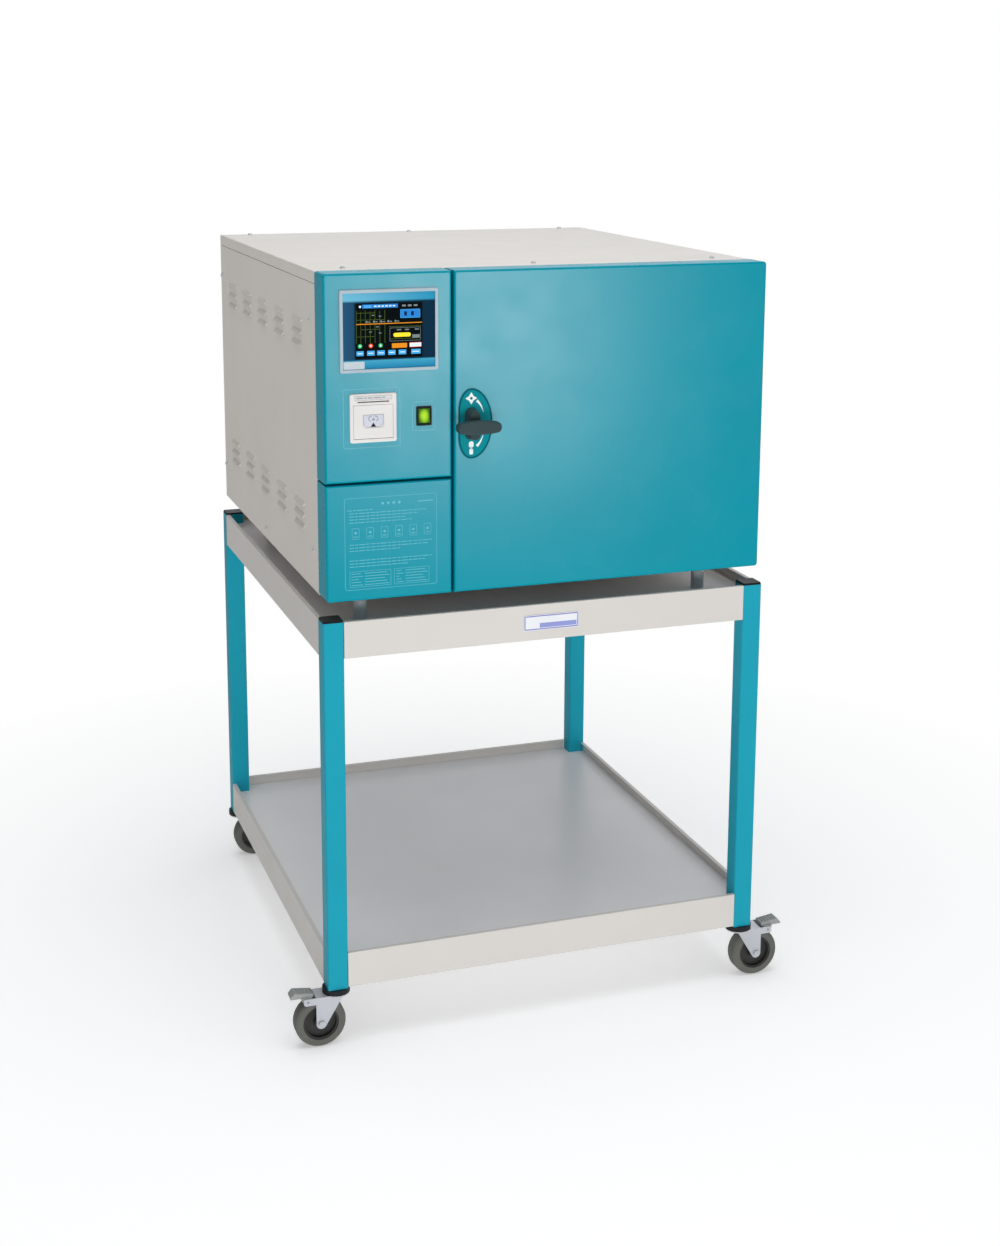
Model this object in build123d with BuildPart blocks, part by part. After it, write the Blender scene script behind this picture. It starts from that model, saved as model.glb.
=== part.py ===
from build123d import *
from math import radians, tan
import os

# Ethylene oxide sterilizer standing on a wheeled steel cart.
# Millimetres. +X is the operator's right, +Y runs from the door to the back, +Z is up.
# The origin lies on the floor under the middle of the cart.

# Cart
cart_width = 900.0
cart_depth = 980.0
leg_size = 40.0
leg_wall = 2.0
leg_corner = 4.0
leg_bottom = 115.0
leg_top = 846.0
cap_height = 4.0
cap_taper = 20.0
cap_plug_depth = 16.0
cap_plug_slack = 0.2
cap_plug_wall = 3.0
rail_height = 70.0
rail_wall = 2.0
rail_lip = 8.0
rail_foot = 18.0
upper_rail_top = 846.0
lower_rail_top = 188.0
tray_drop = 22.0
tray_sheet = 2.0
plate_width = 113.0
plate_height = 30.5
plate_thickness = 1.5
plate_corner = 3.0
plate_centre_z = 811.0

# Casters
wheel_radius = 50.0
tread_width = 32.0
tread_round = 7.0
tyre_inner_radius = 35.0
hub_radius = 13.0
hub_width = 35.4
web_width = 12.0
rim_wall = 4.0
rim_set_in = 2.0
caster_trail = 34.0
axle_radius = 4.0
axle_head_radius = 7.0
axle_head_height = 4.5
running_gap = 0.05
fork_sheet = 2.5
fork_side_gap = 0.3
fork_tip_radius = 10.0
fork_lean = 31.0
fork_arm_out = 68.0
fork_arm_height = 13.5
fork_arm_corner = 3.0
crown_under = 101.5
crown_thickness = 3.0
crown_back = 25.0
race_radius = 27.0
race_gap = 0.4
stem_radius = 6.0
stem_tail = 0.4
stem_plug_height = 30.0
pedal_pivot_out = 60.0
pedal_pivot_height = 98.5
pedal_pin_radius = 2.5
pedal_pin_proud = 0.5
pedal_tip_out = 92.0
pedal_width = 26.0
pedal_top = 116.6
pedal_plate_height = 12.0
pedal_nose = 7.0
pedal_toe = 4.0
pedal_heel_back = 12.0
pedal_heel_drop = 5.0
pedal_side_gap = 1.0
pedal_block_back = 8.0
pedal_block_front = 10.0
pedal_block_nose = 4.0
pedal_block_low = 5.0
pedal_block_rise = 2.0
pedal_rib_depth = 1.2
pedal_rib_width = 2.3
pedal_rib_pitch = 6.5
pedal_rib_count = 5
pedal_rib_margin = 3.0

# Sterilizer body
front_width = 882.0
front_bottom = 884.0
front_top = 1491.0
front_face_y = -486.0
front_depth = 62.0
body_side_step = 1.0
body_back_y = 492.0
body_top_step = 1.0
sheet = 2.0
front_frame_thickness = 3.0
cover_flange = 22.0
cover_bend = 3.0
cover_seam = 1.0
panel_flange = 15.0
skin = 2.0
front_corner = 6.0
front_edge = 4.0
cut_past = 1.0

# Split of the front
column_width = 241.5
column_gap = 5.0
service_top = 1103.5
service_gap = 4.0

# Chamber
chamber_inner = 430.0
chamber_length = 700.0
chamber_wall = 3.0
chamber_centre_x = 124.0
chamber_centre_z = 1187.5
chamber_flange = 23.0
chamber_flange_thickness = 2.0
chamber_slack = 0.5
insulation = 18.0
shelf_height = 1120.0
shelf_sheet = 1.5
shelf_rim = 14.0
shelf_side_slack = 3.0
shelf_setback = 24.0
shelf_length = 600.0
shelf_slot_length = 170.0
shelf_slot_height = 10.0
shelf_slot_pitch_x = 200.0
shelf_slot_pitch_y = 62.0
shelf_slot_columns = 2
shelf_slot_rows = 9
runner_leg = 16.0
runner_sheet = 2.0

# Door
door_thickness = 58.0
door_pin_in = 8.0
door_pin_forward = 14.0
plug_slack = 6.0
plug_reach = 10.0
plug_corner = 6.0
plug_taper = 12.0
gasket_width = 14.0
gasket_thickness = 10.0
gasket_gap = 0.3
gasket_seat = 8.0
hinge_pin_radius = 4.0
hinge_barrel_radius = 7.0
hinge_ear_height = 16.0
hinge_knuckle_height = 30.0
hinge_ear_gap = 0.3
hinge_notch_slack = 2.0
hinge_heights = (1010.0, 1365.0)
hinge_leaf_reach = 52.0
hinge_leaf_thickness = 4.0
hinge_foot_width = 36.0
hinge_foot_thickness = 3.0
pin_head_rim = 1.5
pin_head_height = 1.5

# Door handle and latch
handle_x = -162.0
handle_z = 1206.0
badge_height = 133.0
badge_left = 25.0
badge_right = 42.0
badge_thickness = 2.0
boss_width = 26.0
boss_height = 61.0
boss_depth = 26.0
boss_taper = 8.0
grip_length = 84.0
grip_height = 25.0
grip_end_height = 18.0
grip_end_bulge = 4.0
grip_depth = 20.0
grip_centre_out = 48.0
spindle_radius = 6.0
spindle_tail = 8.0
spindle_socket = 18.0
spindle_clearance = 2.0
spindle_nut_radius = 9.0
spindle_end = 2.0
turning_gap = 0.3
neck_radius = 9.0
neck_overlap = 2.0
grip_corner = 6.0
grip_soft = 4.5
keeper_width = 24.0
keeper_height = 44.0
pawl_width = 16.0
pawl_length = 40.0
pawl_thickness = 8.0
pawl_behind = 0.5
pawl_boss_rim = 3.0
keeper_thickness = 3.0
window_side = 24.0
window_above = 22.0
window_below = 52.0

# Controls
screen_left = -412.0
screen_bottom = 1311.0
screen_width = 185.5
screen_height = 150.5
screen_proud = 6.0
screen_frame = 6.0
screen_recess = 1.5
screen_edge = 2.0
glass_thickness = 2.0
glass_gap = 0.2
body_inset = 4.0
module_slack = 0.5
screen_body_depth = 34.0
screen_round = 4.0
printer_left = -394.5
printer_bottom = 1182.0
printer_width = 88.0
printer_height = 90.0
printer_proud = 5.0
printer_round = 4.0
printer_edge = 1.5
printer_body_depth = 50.0
lid_width = 74.0
lid_height = 62.0
lid_margin_bottom = 7.0
lid_thickness = 4.0
lid_gap = 0.5
lid_pin_radius = 1.5
lid_pin_length = 3.0
lid_window_width = 40.0
lid_window_height = 26.0
lid_window_corner = 3.0
lid_window_rise = 2.0
lid_window_depth = 1.0
well_step = 4.0
well_side = 5.0
well_depth = 43.0
slot_above_lid = 6.0
slot_height = 2.4
slot_side = 1.5
slot_depth = 12.0
paper_radius = 20.0
paper_core_radius = 6.0
paper_width = 57.0
paper_gap = 0.3
switch_left = -268.0
switch_bottom = 1207.5
switch_width = 29.0
switch_height = 36.0
switch_proud = 3.0
switch_round = 2.0
switch_body_depth = 24.0
rocker_width = 21.0
rocker_height = 27.0
rocker_gap = 0.4
rocker_tilt = 7.0
rocker_pivot_radius = 1.5
rocker_pin_length = 1.5
rocker_well = 12.0
rocker_crest = 5.0
rocker_dip = 2.5
rocker_belly = 6.0
rocker_heel = 4.0
rocker_heel_in = 3.0

# Louvres, three short slots in a column
louvre_length = 74.0
louvre_height = 8.0
louvre_hood = 5.0
louvre_sheet = 1.2
louvre_pitch_z = 22.0
louvre_rows = 3
louvre_columns = 5
louvre_pitch_y = 157.0
louvre_centre_y = 38.5
louvre_upper_z = 1366.0
louvre_lower_z = 1012.0

# Base, feet, screws and rear fittings
base_edge = 16.0
cradle_width = 40.0
cradle_front_y = -300.0
cradle_back_y = 180.0
pump_x = -320.0
pump_y = 120.0
pump_motor_radius = 44.0
pump_motor_length = 130.0
pump_base_half_width = 50.0
pump_base_half_length = 90.0
pump_base_height = 12.0
pump_head_half_width = 42.0
pump_head_start = 30.0
pump_head_length = 70.0
pump_head_height = 118.0
vent_x = 205.0
vent_z = 1300.0
vent_pitch = 16.0
vent_rows = 8
vent_length = 200.0
vent_height = 6.0
screw_top_x = 376.0
screw_top_front_y = -376.0
screw_top_back_y = 470.0
screw_front_y = -384.0
screw_back_y = 478.0
screw_middle_y = 44.0
screw_high_z = 1399.0
screw_low_z = 962.0
screw_bottom_z = 906.0
foot_x = 354.0
foot_front_y = -392.0
foot_back_y = 400.0
foot_sleeve_radius = 13.0
foot_sleeve_height = 36.0
foot_sleeve_chamfer = 2.0
foot_rod_radius = 10.0
foot_stud_radius = 5.0
foot_stud_slack = 0.5
foot_nut_radius = 9.0
foot_nut_height = 8.0
screw_head_radius = 5.5
screw_head_height = 3.5
screw_dome_taper = 28.0
screw_shank_radius = 2.0
screw_shank_length = 8.0
screw_hole_slack = 0.3
outlet_x = 250.0
outlet_z = 1010.0
outlet_radius = 9.0
outlet_bore = 4.0
outlet_reach = 46.0
outlet_thread = 14.0
outlet_hex_radius = 15.0
outlet_hex_height = 10.0
barb_pitch = 8.0
barb_count = 3
barb_step = 2.0
inlet_x = -330.0
inlet_z = 960.0
inlet_width = 48.0
inlet_height = 28.0
inlet_reach = 22.0
inlet_rear = 8.0
inlet_flange_side = 6.0
inlet_flange_end = 4.0
inlet_flange_thickness = 2.5
inlet_corner = 3.0
socket_depth = 16.0
socket_side = 9.0
socket_end = 5.0

# Places that follow from the sizes above
half_cart_w = cart_width / 2
half_cart_d = cart_depth / 2
leg_x = half_cart_w - leg_size / 2
leg_y = half_cart_d - leg_size / 2
half_front_w = front_width / 2
body_top = front_top - body_top_step
half_body_w = half_front_w - body_side_step
frame_face_y = front_face_y + front_depth
frame_back_y = frame_face_y + front_frame_thickness
door_back_y = front_face_y + door_thickness
door_left = -half_front_w + column_width + column_gap
door_right = half_front_w
hinge_x = door_right - door_pin_in
hinge_y = door_back_y - door_pin_forward
body_bottom = front_bottom
cover_under = body_top - cover_flange
upper_tray_top = upper_rail_top - tray_drop
chamber_outer = chamber_inner + 2 * chamber_wall
chamber_front_y = frame_face_y - chamber_flange_thickness
chamber_back_y = frame_face_y + chamber_length
handle_face_y = front_face_y - badge_thickness
gasket_inner = chamber_inner + chamber_flange - gasket_width
gasket_outer = gasket_inner + 2 * gasket_width
grip_back_y = front_face_y - grip_centre_out + grip_depth / 2

os.makedirs("parts", exist_ok=True)


def save(block, name):
    """Label a finished piece and write its file."""
    block.part.label = name
    export_step(block.part, f"parts/{name}.step")


def corners(half_x, half_y):
    """The four places that mirror each other about the middle."""
    return [(sx * half_x, sy * half_y) for sx in (-1, 1) for sy in (-1, 1)]


# Cart legs: square tube with a broken lower edge.
with BuildPart() as cart_legs:
    with BuildSketch(Plane.XY.offset(leg_bottom)):
        with Locations(*corners(leg_x, leg_y)):
            RectangleRounded(leg_size, leg_size, leg_corner)
            Rectangle(leg_size - 2 * leg_wall, leg_size - 2 * leg_wall, mode=Mode.SUBTRACT)
    extrude(amount=leg_top - leg_bottom)
save(cart_legs, "cart_legs")

# Black caps pushed into the tops of the legs.
with BuildPart() as leg_caps:
    with BuildSketch(Plane.XY.offset(leg_top)):
        with Locations(*corners(leg_x, leg_y)):
            RectangleRounded(leg_size, leg_size, leg_corner)
    extrude(amount=cap_height, taper=cap_taper)
    plug = leg_size - 2 * leg_wall - 2 * cap_plug_slack
    with BuildSketch(Plane.XY.offset(leg_top)):
        with Locations(*corners(leg_x, leg_y)):
            Rectangle(plug, plug)
            Rectangle(plug - 2 * cap_plug_wall, plug - 2 * cap_plug_wall, mode=Mode.SUBTRACT)
    extrude(amount=-cap_plug_depth)
save(leg_caps, "leg_caps")


def rail_ring(name, top):
    """Four folded rails between the legs, each with a lip at the top and a foot below."""
    bottom = top - rail_height
    section = [
        (0, bottom),
        (rail_foot, bottom),
        (rail_foot, bottom + rail_wall),
        (rail_wall, bottom + rail_wall),
        (rail_wall, top - rail_wall),
        (rail_lip, top - rail_wall),
        (rail_lip, top),
        (0, top),
    ]
    with BuildPart() as ring:
        for sign in (-1, 1):
            # Sections are drawn inwards from the outer face, upright.
            cross = Plane(origin=(0, sign * half_cart_d, 0), x_dir=(0, -sign, 0), z_dir=(-sign, 0, 0))
            with BuildSketch(cross):
                with BuildLine():
                    Polyline(*section, close=True)
                make_face()
            extrude(amount=half_cart_w - leg_size, both=True)
            side = Plane(origin=(sign * half_cart_w, 0, 0), x_dir=(-sign, 0, 0), z_dir=(0, sign, 0))
            with BuildSketch(side):
                with BuildLine():
                    Polyline(*section, close=True)
                make_face()
            extrude(amount=half_cart_d - leg_size, both=True)
    save(ring, name)


rail_ring("upper_rails", upper_rail_top)
rail_ring("lower_rails", lower_rail_top)


def tray(name, rail_top):
    """Sheet tray let in below the rim, with folded edges that stand on the rails' feet."""
    top = rail_top - tray_drop
    foot = rail_top - rail_height + rail_wall
    wide = cart_width - 2 * rail_wall
    deep = cart_depth - 2 * rail_wall
    notch = leg_size - rail_wall
    with BuildPart() as pan:
        with BuildSketch(Plane.XY.offset(foot)):
            Rectangle(wide, deep)
            with Locations(*corners(wide / 2 - notch / 2, deep / 2 - notch / 2)):
                Rectangle(notch, notch, mode=Mode.SUBTRACT)
        extrude(amount=top - foot)
        with BuildSketch(Plane.XY.offset(foot)):
            Rectangle(wide - 2 * tray_sheet, deep - 2 * notch - 2 * tray_sheet)
            Rectangle(wide - 2 * notch - 2 * tray_sheet, deep - 2 * tray_sheet)
        extrude(amount=top - foot - tray_sheet, mode=Mode.SUBTRACT)
    save(pan, name)


tray("upper_tray", upper_rail_top)
tray("lower_shelf", lower_rail_top)

# Bare plate on the front rail.
with BuildPart() as name_plate:
    with BuildSketch(Plane.XZ.offset(half_cart_d)):
        with Locations((0, plate_centre_z)):
            RectangleRounded(plate_width, plate_height, plate_corner)
    extrude(amount=plate_thickness)
save(name_plate, "name_plate")

# Swivel heads: a black race against the leg, a plug in the tube and the stem under it.
with BuildPart() as caster_mounts:
    race_under = crown_under + crown_thickness + race_gap
    with BuildSketch(Plane.XY.offset(race_under)):
        with Locations(*corners(leg_x, leg_y)):
            Circle(race_radius)
    extrude(amount=leg_bottom - race_under)
    stem_plug = leg_size - 2 * leg_wall - 2 * cap_plug_slack
    with BuildSketch(Plane.XY.offset(leg_bottom)):
        with Locations(*corners(leg_x, leg_y)):
            Rectangle(stem_plug, stem_plug)
    extrude(amount=stem_plug_height)
    with BuildSketch(Plane.XY.offset(crown_under - stem_tail)):
        with Locations(*corners(leg_x, leg_y)):
            Circle(stem_radius)
    extrude(amount=race_under - crown_under + stem_tail)
save(caster_mounts, "caster_mounts")


def caster(place, x, y, outward):
    """One swivel caster; outward is the way the wheel trails, along X."""
    side = Plane(origin=(x, y, 0), x_dir=(outward, 0, 0), z_dir=(0, -outward, 0))
    flat = Plane(origin=(x, y, 0), x_dir=(outward, 0, 0), z_dir=(0, 0, 1))
    cheek_in = hub_width / 2 + fork_side_gap
    cheek_out = cheek_in + fork_sheet
    crown_top = crown_under + crown_thickness
    axle_at = (caster_trail, wheel_radius)
    tip = caster_trail + fork_tip_radius
    pivot_at = (pedal_pivot_out, pedal_pivot_height)
    arm_low = crown_top - fork_arm_height

    with BuildPart() as fork:
        for sign in (-1, 1):
            start = cheek_in if sign > 0 else -cheek_out
            with BuildSketch(side.offset(start)):
                with BuildLine():
                    round_tip = CenterArc(axle_at, fork_tip_radius, 180 + fork_lean, 180 - fork_lean)
                    low = round_tip @ 0
                    crown_start = low.X - (crown_top - low.Y) * tan(radians(fork_lean))
                    Polyline(
                        (tip, wheel_radius),
                        (tip, arm_low),
                        (fork_arm_out - fork_arm_corner, arm_low),
                        (fork_arm_out, arm_low + fork_arm_corner),
                        (fork_arm_out, crown_top),
                        (crown_start, crown_top),
                        (low.X, low.Y),
                    )
                make_face()
                with Locations(axle_at):
                    Circle(axle_radius + running_gap, mode=Mode.SUBTRACT)
                with Locations(pivot_at):
                    Circle(pedal_pin_radius + running_gap, mode=Mode.SUBTRACT)
            extrude(amount=fork_sheet)
        with BuildSketch(flat.offset(crown_under)):
            Circle(crown_back)
            with Locations((tip / 2, 0)):
                Rectangle(tip, 2 * cheek_out)
            Circle(stem_radius + running_gap, mode=Mode.SUBTRACT)
        extrude(amount=crown_thickness)
        # Axle bolt, loose in the cheeks by the running gap, with a hexagon on each end.
        with BuildSketch(side):
            with Locations(axle_at):
                Circle(axle_radius)
        extrude(amount=cheek_out + running_gap, both=True)
        for sign in (-1, 1):
            with BuildSketch(side.offset(sign * (cheek_out + running_gap))):
                with Locations(axle_at):
                    RegularPolygon(axle_head_radius, 6)
            extrude(amount=sign * axle_head_height)
    save(fork, f"caster_fork_{place}")

    with BuildPart() as core:
        with BuildSketch(side):
            with Locations(axle_at):
                Circle(tyre_inner_radius)
                Circle(tyre_inner_radius - rim_wall, mode=Mode.SUBTRACT)
        extrude(amount=tread_width / 2 - rim_set_in, both=True)
        with BuildSketch(side):
            with Locations(axle_at):
                Circle(tyre_inner_radius - rim_wall)
        extrude(amount=web_width / 2, both=True)
        with BuildSketch(side):
            with Locations(axle_at):
                Circle(hub_radius)
        extrude(amount=hub_width / 2, both=True)
        with BuildSketch(side):
            with Locations(axle_at):
                Circle(axle_radius + running_gap)
        extrude(amount=hub_width, both=True, mode=Mode.SUBTRACT)
    save(core, f"caster_wheel_{place}")

    with BuildPart() as tyre:
        with BuildSketch(side):
            with Locations(axle_at):
                Circle(wheel_radius)
                Circle(tyre_inner_radius, mode=Mode.SUBTRACT)
        extrude(amount=tread_width / 2, both=True)
        outer = tyre.edges().filter_by(GeomType.CIRCLE).sort_by(SortBy.RADIUS)[-2:]
        fillet(outer, tread_round)
    save(tyre, f"caster_tyre_{place}")

    with BuildPart() as pedal:
        heel = pedal_pivot_out - pedal_heel_back
        toe_top = pedal_tip_out - pedal_nose
        under = pedal_top - pedal_plate_height
        drop = pedal_heel_drop / (toe_top - heel)
        with BuildSketch(side):
            with BuildLine():
                Polyline(
                    (heel, under),
                    (pedal_tip_out, under),
                    (pedal_tip_out, under + pedal_toe),
                    (toe_top, pedal_top),
                    (heel, pedal_top - pedal_heel_drop),
                    close=True,
                )
            make_face()
        extrude(amount=pedal_width / 2, both=True)
        # Block between the cheeks, under the plate, with the pivot pin through it.
        with BuildSketch(side):
            with BuildLine():
                Polyline(
                    (pedal_pivot_out - pedal_block_back, pedal_pivot_height),
                    (pedal_pivot_out + pedal_block_nose, pedal_pivot_height - pedal_block_low),
                    (pedal_pivot_out + pedal_block_front, pedal_pivot_height),
                    (pedal_pivot_out + pedal_block_front, under + pedal_block_rise),
                    (pedal_pivot_out - pedal_block_back, under + pedal_block_rise),
                    close=True,
                )
            make_face()
        extrude(amount=cheek_in - pedal_side_gap, both=True)
        for step in range(pedal_rib_count):
            back_from_toe = (step + 1) * pedal_rib_pitch
            with BuildSketch(side):
                with Locations((toe_top - back_from_toe, pedal_top - drop * back_from_toe)):
                    Rectangle(pedal_rib_width, 2 * pedal_rib_depth)
            extrude(amount=pedal_width / 2 - pedal_rib_margin, both=True, mode=Mode.SUBTRACT)
        with BuildSketch(side):
            with Locations(pivot_at):
                Circle(pedal_pin_radius)
        extrude(amount=cheek_out + pedal_pin_proud, both=True)
    save(pedal, f"brake_pedal_{place}")


caster("front_left", -leg_x, -leg_y, -1)
caster("front_right", leg_x, -leg_y, 1)
caster("back_left", -leg_x, leg_y, 1)
caster("back_right", leg_x, leg_y, -1)


def block(x0, x1, y0, y1, z0, z1, mode=Mode.ADD):
    """Box between two corners, added to the part that is being built."""
    with Locations(((x0 + x1) / 2, (y0 + y1) / 2, (z0 + z1) / 2)):
        Box(x1 - x0, y1 - y0, z1 - z0, mode=mode)


# Front frame: the painted bulkhead behind the door and the control column.
chamber_low_x = chamber_centre_x - chamber_outer / 2
chamber_high_x = chamber_centre_x + chamber_outer / 2
chamber_low_z = chamber_centre_z - chamber_outer / 2
chamber_high_z = chamber_centre_z + chamber_outer / 2
window_left = handle_x - window_side
window_right = handle_x + window_side
with BuildPart() as front_frame:
    block(-half_body_w, half_body_w, frame_face_y, frame_back_y, body_bottom, body_top)
    block(
        chamber_low_x - chamber_slack,
        chamber_high_x + chamber_slack,
        frame_face_y - cut_past,
        frame_back_y + cut_past,
        chamber_low_z - chamber_slack,
        chamber_high_z + chamber_slack,
        mode=Mode.SUBTRACT,
    )
    block(
        window_left,
        window_right,
        frame_face_y - cut_past,
        frame_back_y + cut_past,
        handle_z - window_below,
        handle_z + window_above,
        mode=Mode.SUBTRACT,
    )
save(front_frame, "front_frame")

# Base pan with two cradles that carry the insulated chamber.
jacket_low_z = chamber_low_z - insulation
base_front_y = frame_back_y + sheet
base_back_y = body_back_y - 2 * sheet
base_half_w = half_body_w - sheet
with BuildPart() as machine_base:
    block(-base_half_w, base_half_w, base_front_y, base_back_y, body_bottom, body_bottom + sheet)
    for sign in (-1, 1):
        block(
            min(sign * base_half_w, sign * (base_half_w - sheet)),
            max(sign * base_half_w, sign * (base_half_w - sheet)),
            base_front_y,
            base_back_y,
            body_bottom,
            body_bottom + base_edge,
        )
    for at in (cradle_front_y, cradle_back_y):
        block(
            chamber_low_x - insulation,
            chamber_high_x + insulation,
            at - cradle_width / 2,
            at + cradle_width / 2,
            body_bottom + sheet,
            jacket_low_z,
        )
        block(
            chamber_low_x - insulation - cut_past,
            chamber_high_x + insulation + cut_past,
            at - cradle_width / 2 + sheet,
            at + cradle_width / 2 - sheet,
            body_bottom + sheet,
            jacket_low_z - sheet,
            mode=Mode.SUBTRACT,
        )
    with Locations(*[(x, y, body_bottom) for x in (-foot_x, foot_x) for y in (foot_front_y, foot_back_y)]):
        Cylinder(foot_stud_radius + foot_stud_slack, 4 * sheet, mode=Mode.SUBTRACT)
save(machine_base, "machine_base")

# Levelling feet: a rod in a wide sleeve, with a stud and nut through the base.
foot_ground = upper_tray_top
sleeve_top = foot_ground + foot_sleeve_height
with BuildPart() as levelling_feet:
    for x in (-foot_x, foot_x):
        for y in (foot_front_y, foot_back_y):
            with BuildSketch(Plane(origin=(x, y, 0), x_dir=(1, 0, 0), z_dir=(0, -1, 0))):
                with BuildLine():
                    Polyline(
                        (0, foot_ground),
                        (foot_sleeve_radius, foot_ground),
                        (foot_sleeve_radius, sleeve_top - foot_sleeve_chamfer),
                        (foot_sleeve_radius - foot_sleeve_chamfer, sleeve_top),
                        (foot_rod_radius, sleeve_top),
                        (foot_rod_radius, body_bottom),
                        (foot_stud_radius, body_bottom),
                        (foot_stud_radius, body_bottom + sheet),
                        (foot_nut_radius, body_bottom + sheet),
                        (foot_nut_radius, body_bottom + sheet + foot_nut_height),
                        (0, body_bottom + sheet + foot_nut_height),
                        close=True,
                    )
                make_face()
            revolve(axis=Axis((x, y, 0), (0, 0, 1)))
save(levelling_feet, "levelling_feet")

# Screw places: side panels (Y, Z) and top cover (X, Y).
side_screws = [
    (screw_front_y, screw_high_z),
    (screw_back_y, screw_high_z),
    (screw_front_y, screw_low_z),
    (screw_back_y, screw_low_z),
    (screw_middle_y, screw_bottom_z),
]
top_screws = [(x, y) for x in (-screw_top_x, 0, screw_top_x) for y in (screw_top_front_y, screw_top_back_y)]
panel_top = cover_under - cover_seam


def side_panel(name, sign):
    """Louvred side sheet with folded front and back edges; sign is -1 on the left."""
    face = sign * half_body_w
    outside = Plane(origin=(face, 0, 0), x_dir=(0, 1, 0), z_dir=(1, 0, 0))
    inner = face - sign * sheet
    fold = inner - sign * panel_flange
    with BuildPart() as panel:
        block(min(face, inner), max(face, inner), frame_back_y, body_back_y, body_bottom, panel_top)
        for y in (frame_back_y, body_back_y - 2 * sheet):
            block(min(inner, fold), max(inner, fold), y, y + sheet, body_bottom, panel_top)
        section_plane = Plane(origin=(face, 0, 0), x_dir=(sign, 0, 0), z_dir=(0, -sign, 0))
        for group_z in (louvre_upper_z, louvre_lower_z):
            for row in range(louvre_rows):
                base = group_z + (row - (louvre_rows - 1) / 2) * louvre_pitch_z - louvre_height / 2
                for column in range(louvre_columns):
                    y = louvre_centre_y + (column - (louvre_columns - 1) / 2) * louvre_pitch_y
                    middle = section_plane.offset(-sign * y)
                    with BuildSketch(middle):
                        with BuildLine():
                            Polyline((0, base), (louvre_hood, base), (0, base + louvre_height), close=True)
                        make_face()
                    extrude(amount=louvre_length / 2, both=True)
                    with BuildSketch(middle):
                        with BuildLine():
                            Polyline(
                                (-2 * sheet, base - cut_past),
                                (louvre_hood - louvre_sheet, base - cut_past),
                                (louvre_hood - louvre_sheet, base),
                                (0, base + louvre_height - 2 * louvre_sheet),
                                (-2 * sheet, base + louvre_height - 2 * louvre_sheet),
                                close=True,
                            )
                        make_face()
                    extrude(amount=louvre_length / 2 - louvre_sheet, both=True, mode=Mode.SUBTRACT)
        with BuildSketch(outside):
            with Locations(*side_screws):
                Circle(screw_shank_radius + screw_hole_slack)
        extrude(amount=2 * sheet, both=True, mode=Mode.SUBTRACT)
    save(panel, name)


side_panel("side_panel_left", -1)
side_panel("side_panel_right", 1)

# Top cover: a shallow lid folded down on both sides and at the back.
with BuildPart() as top_cover:
    block(-half_body_w, half_body_w, frame_back_y, body_back_y, cover_under, body_top)
    top_edges = top_cover.edges().group_by(Axis.Z)[-1]
    fillet(top_edges.sort_by(Axis.Y)[1:], cover_bend)
    open_faces = [top_cover.faces().sort_by(Axis.Z)[0], top_cover.faces().sort_by(Axis.Y)[0]]
    offset(amount=-sheet, openings=open_faces)
    with BuildSketch(Plane.XY.offset(body_top)):
        with Locations(*top_screws):
            Circle(screw_shank_radius + screw_hole_slack)
    extrude(amount=-3 * sheet, mode=Mode.SUBTRACT)
save(top_cover, "top_cover")

# Rear panel with a field of cooling slots and holes for the outlet and the power inlet.
with BuildPart() as rear_panel:
    block(-base_half_w, base_half_w, body_back_y - sheet, body_back_y, body_bottom, panel_top)
    rear = Plane(origin=(0, body_back_y, 0), x_dir=(1, 0, 0), z_dir=(0, -1, 0))
    with BuildSketch(rear):
        for group in (-1, 1):
            with Locations((group * vent_x, vent_z)):
                with GridLocations(0, vent_pitch, 1, vent_rows):
                    SlotOverall(vent_length, vent_height)
        with Locations((outlet_x, outlet_z)):
            Circle(outlet_radius + chamber_slack)
        with Locations((inlet_x, inlet_z)):
            Rectangle(inlet_width + 2 * chamber_slack, inlet_height + 2 * chamber_slack)
    extrude(amount=2 * sheet, both=True, mode=Mode.SUBTRACT)
save(rear_panel, "rear_panel")

# Cover screws: a domed head over a short shank.
with BuildPart() as cover_screws:
    seats = [Plane(origin=(x, y, body_top), z_dir=(0, 0, 1)) for x, y in top_screws]
    for sign in (-1, 1):
        seats += [Plane(origin=(sign * half_body_w, y, z), z_dir=(sign, 0, 0)) for y, z in side_screws]
    for seat in seats:
        with BuildSketch(seat):
            Circle(screw_head_radius)
        extrude(amount=screw_head_height, taper=screw_dome_taper)
        with BuildSketch(seat):
            Circle(screw_shank_radius)
        extrude(amount=-screw_shank_length)
save(cover_screws, "cover_screws")

# Chamber: square stainless tub, open at the front, with a sealing flange round its mouth.
with BuildPart() as chamber:
    block(
        chamber_low_x,
        chamber_high_x,
        frame_face_y,
        chamber_back_y + chamber_wall,
        chamber_low_z,
        chamber_high_z,
    )
    with BuildSketch(Plane.XZ.offset(-frame_face_y)):
        with Locations((chamber_centre_x, chamber_centre_z)):
            flange_size = chamber_inner + 2 * chamber_flange
            RectangleRounded(flange_size, flange_size, front_corner)
    extrude(amount=chamber_flange_thickness)
    block(
        chamber_low_x + chamber_wall,
        chamber_high_x - chamber_wall,
        chamber_front_y - cut_past,
        chamber_back_y,
        chamber_low_z + chamber_wall,
        chamber_high_z - chamber_wall,
        mode=Mode.SUBTRACT,
    )
save(chamber, "chamber")

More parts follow.
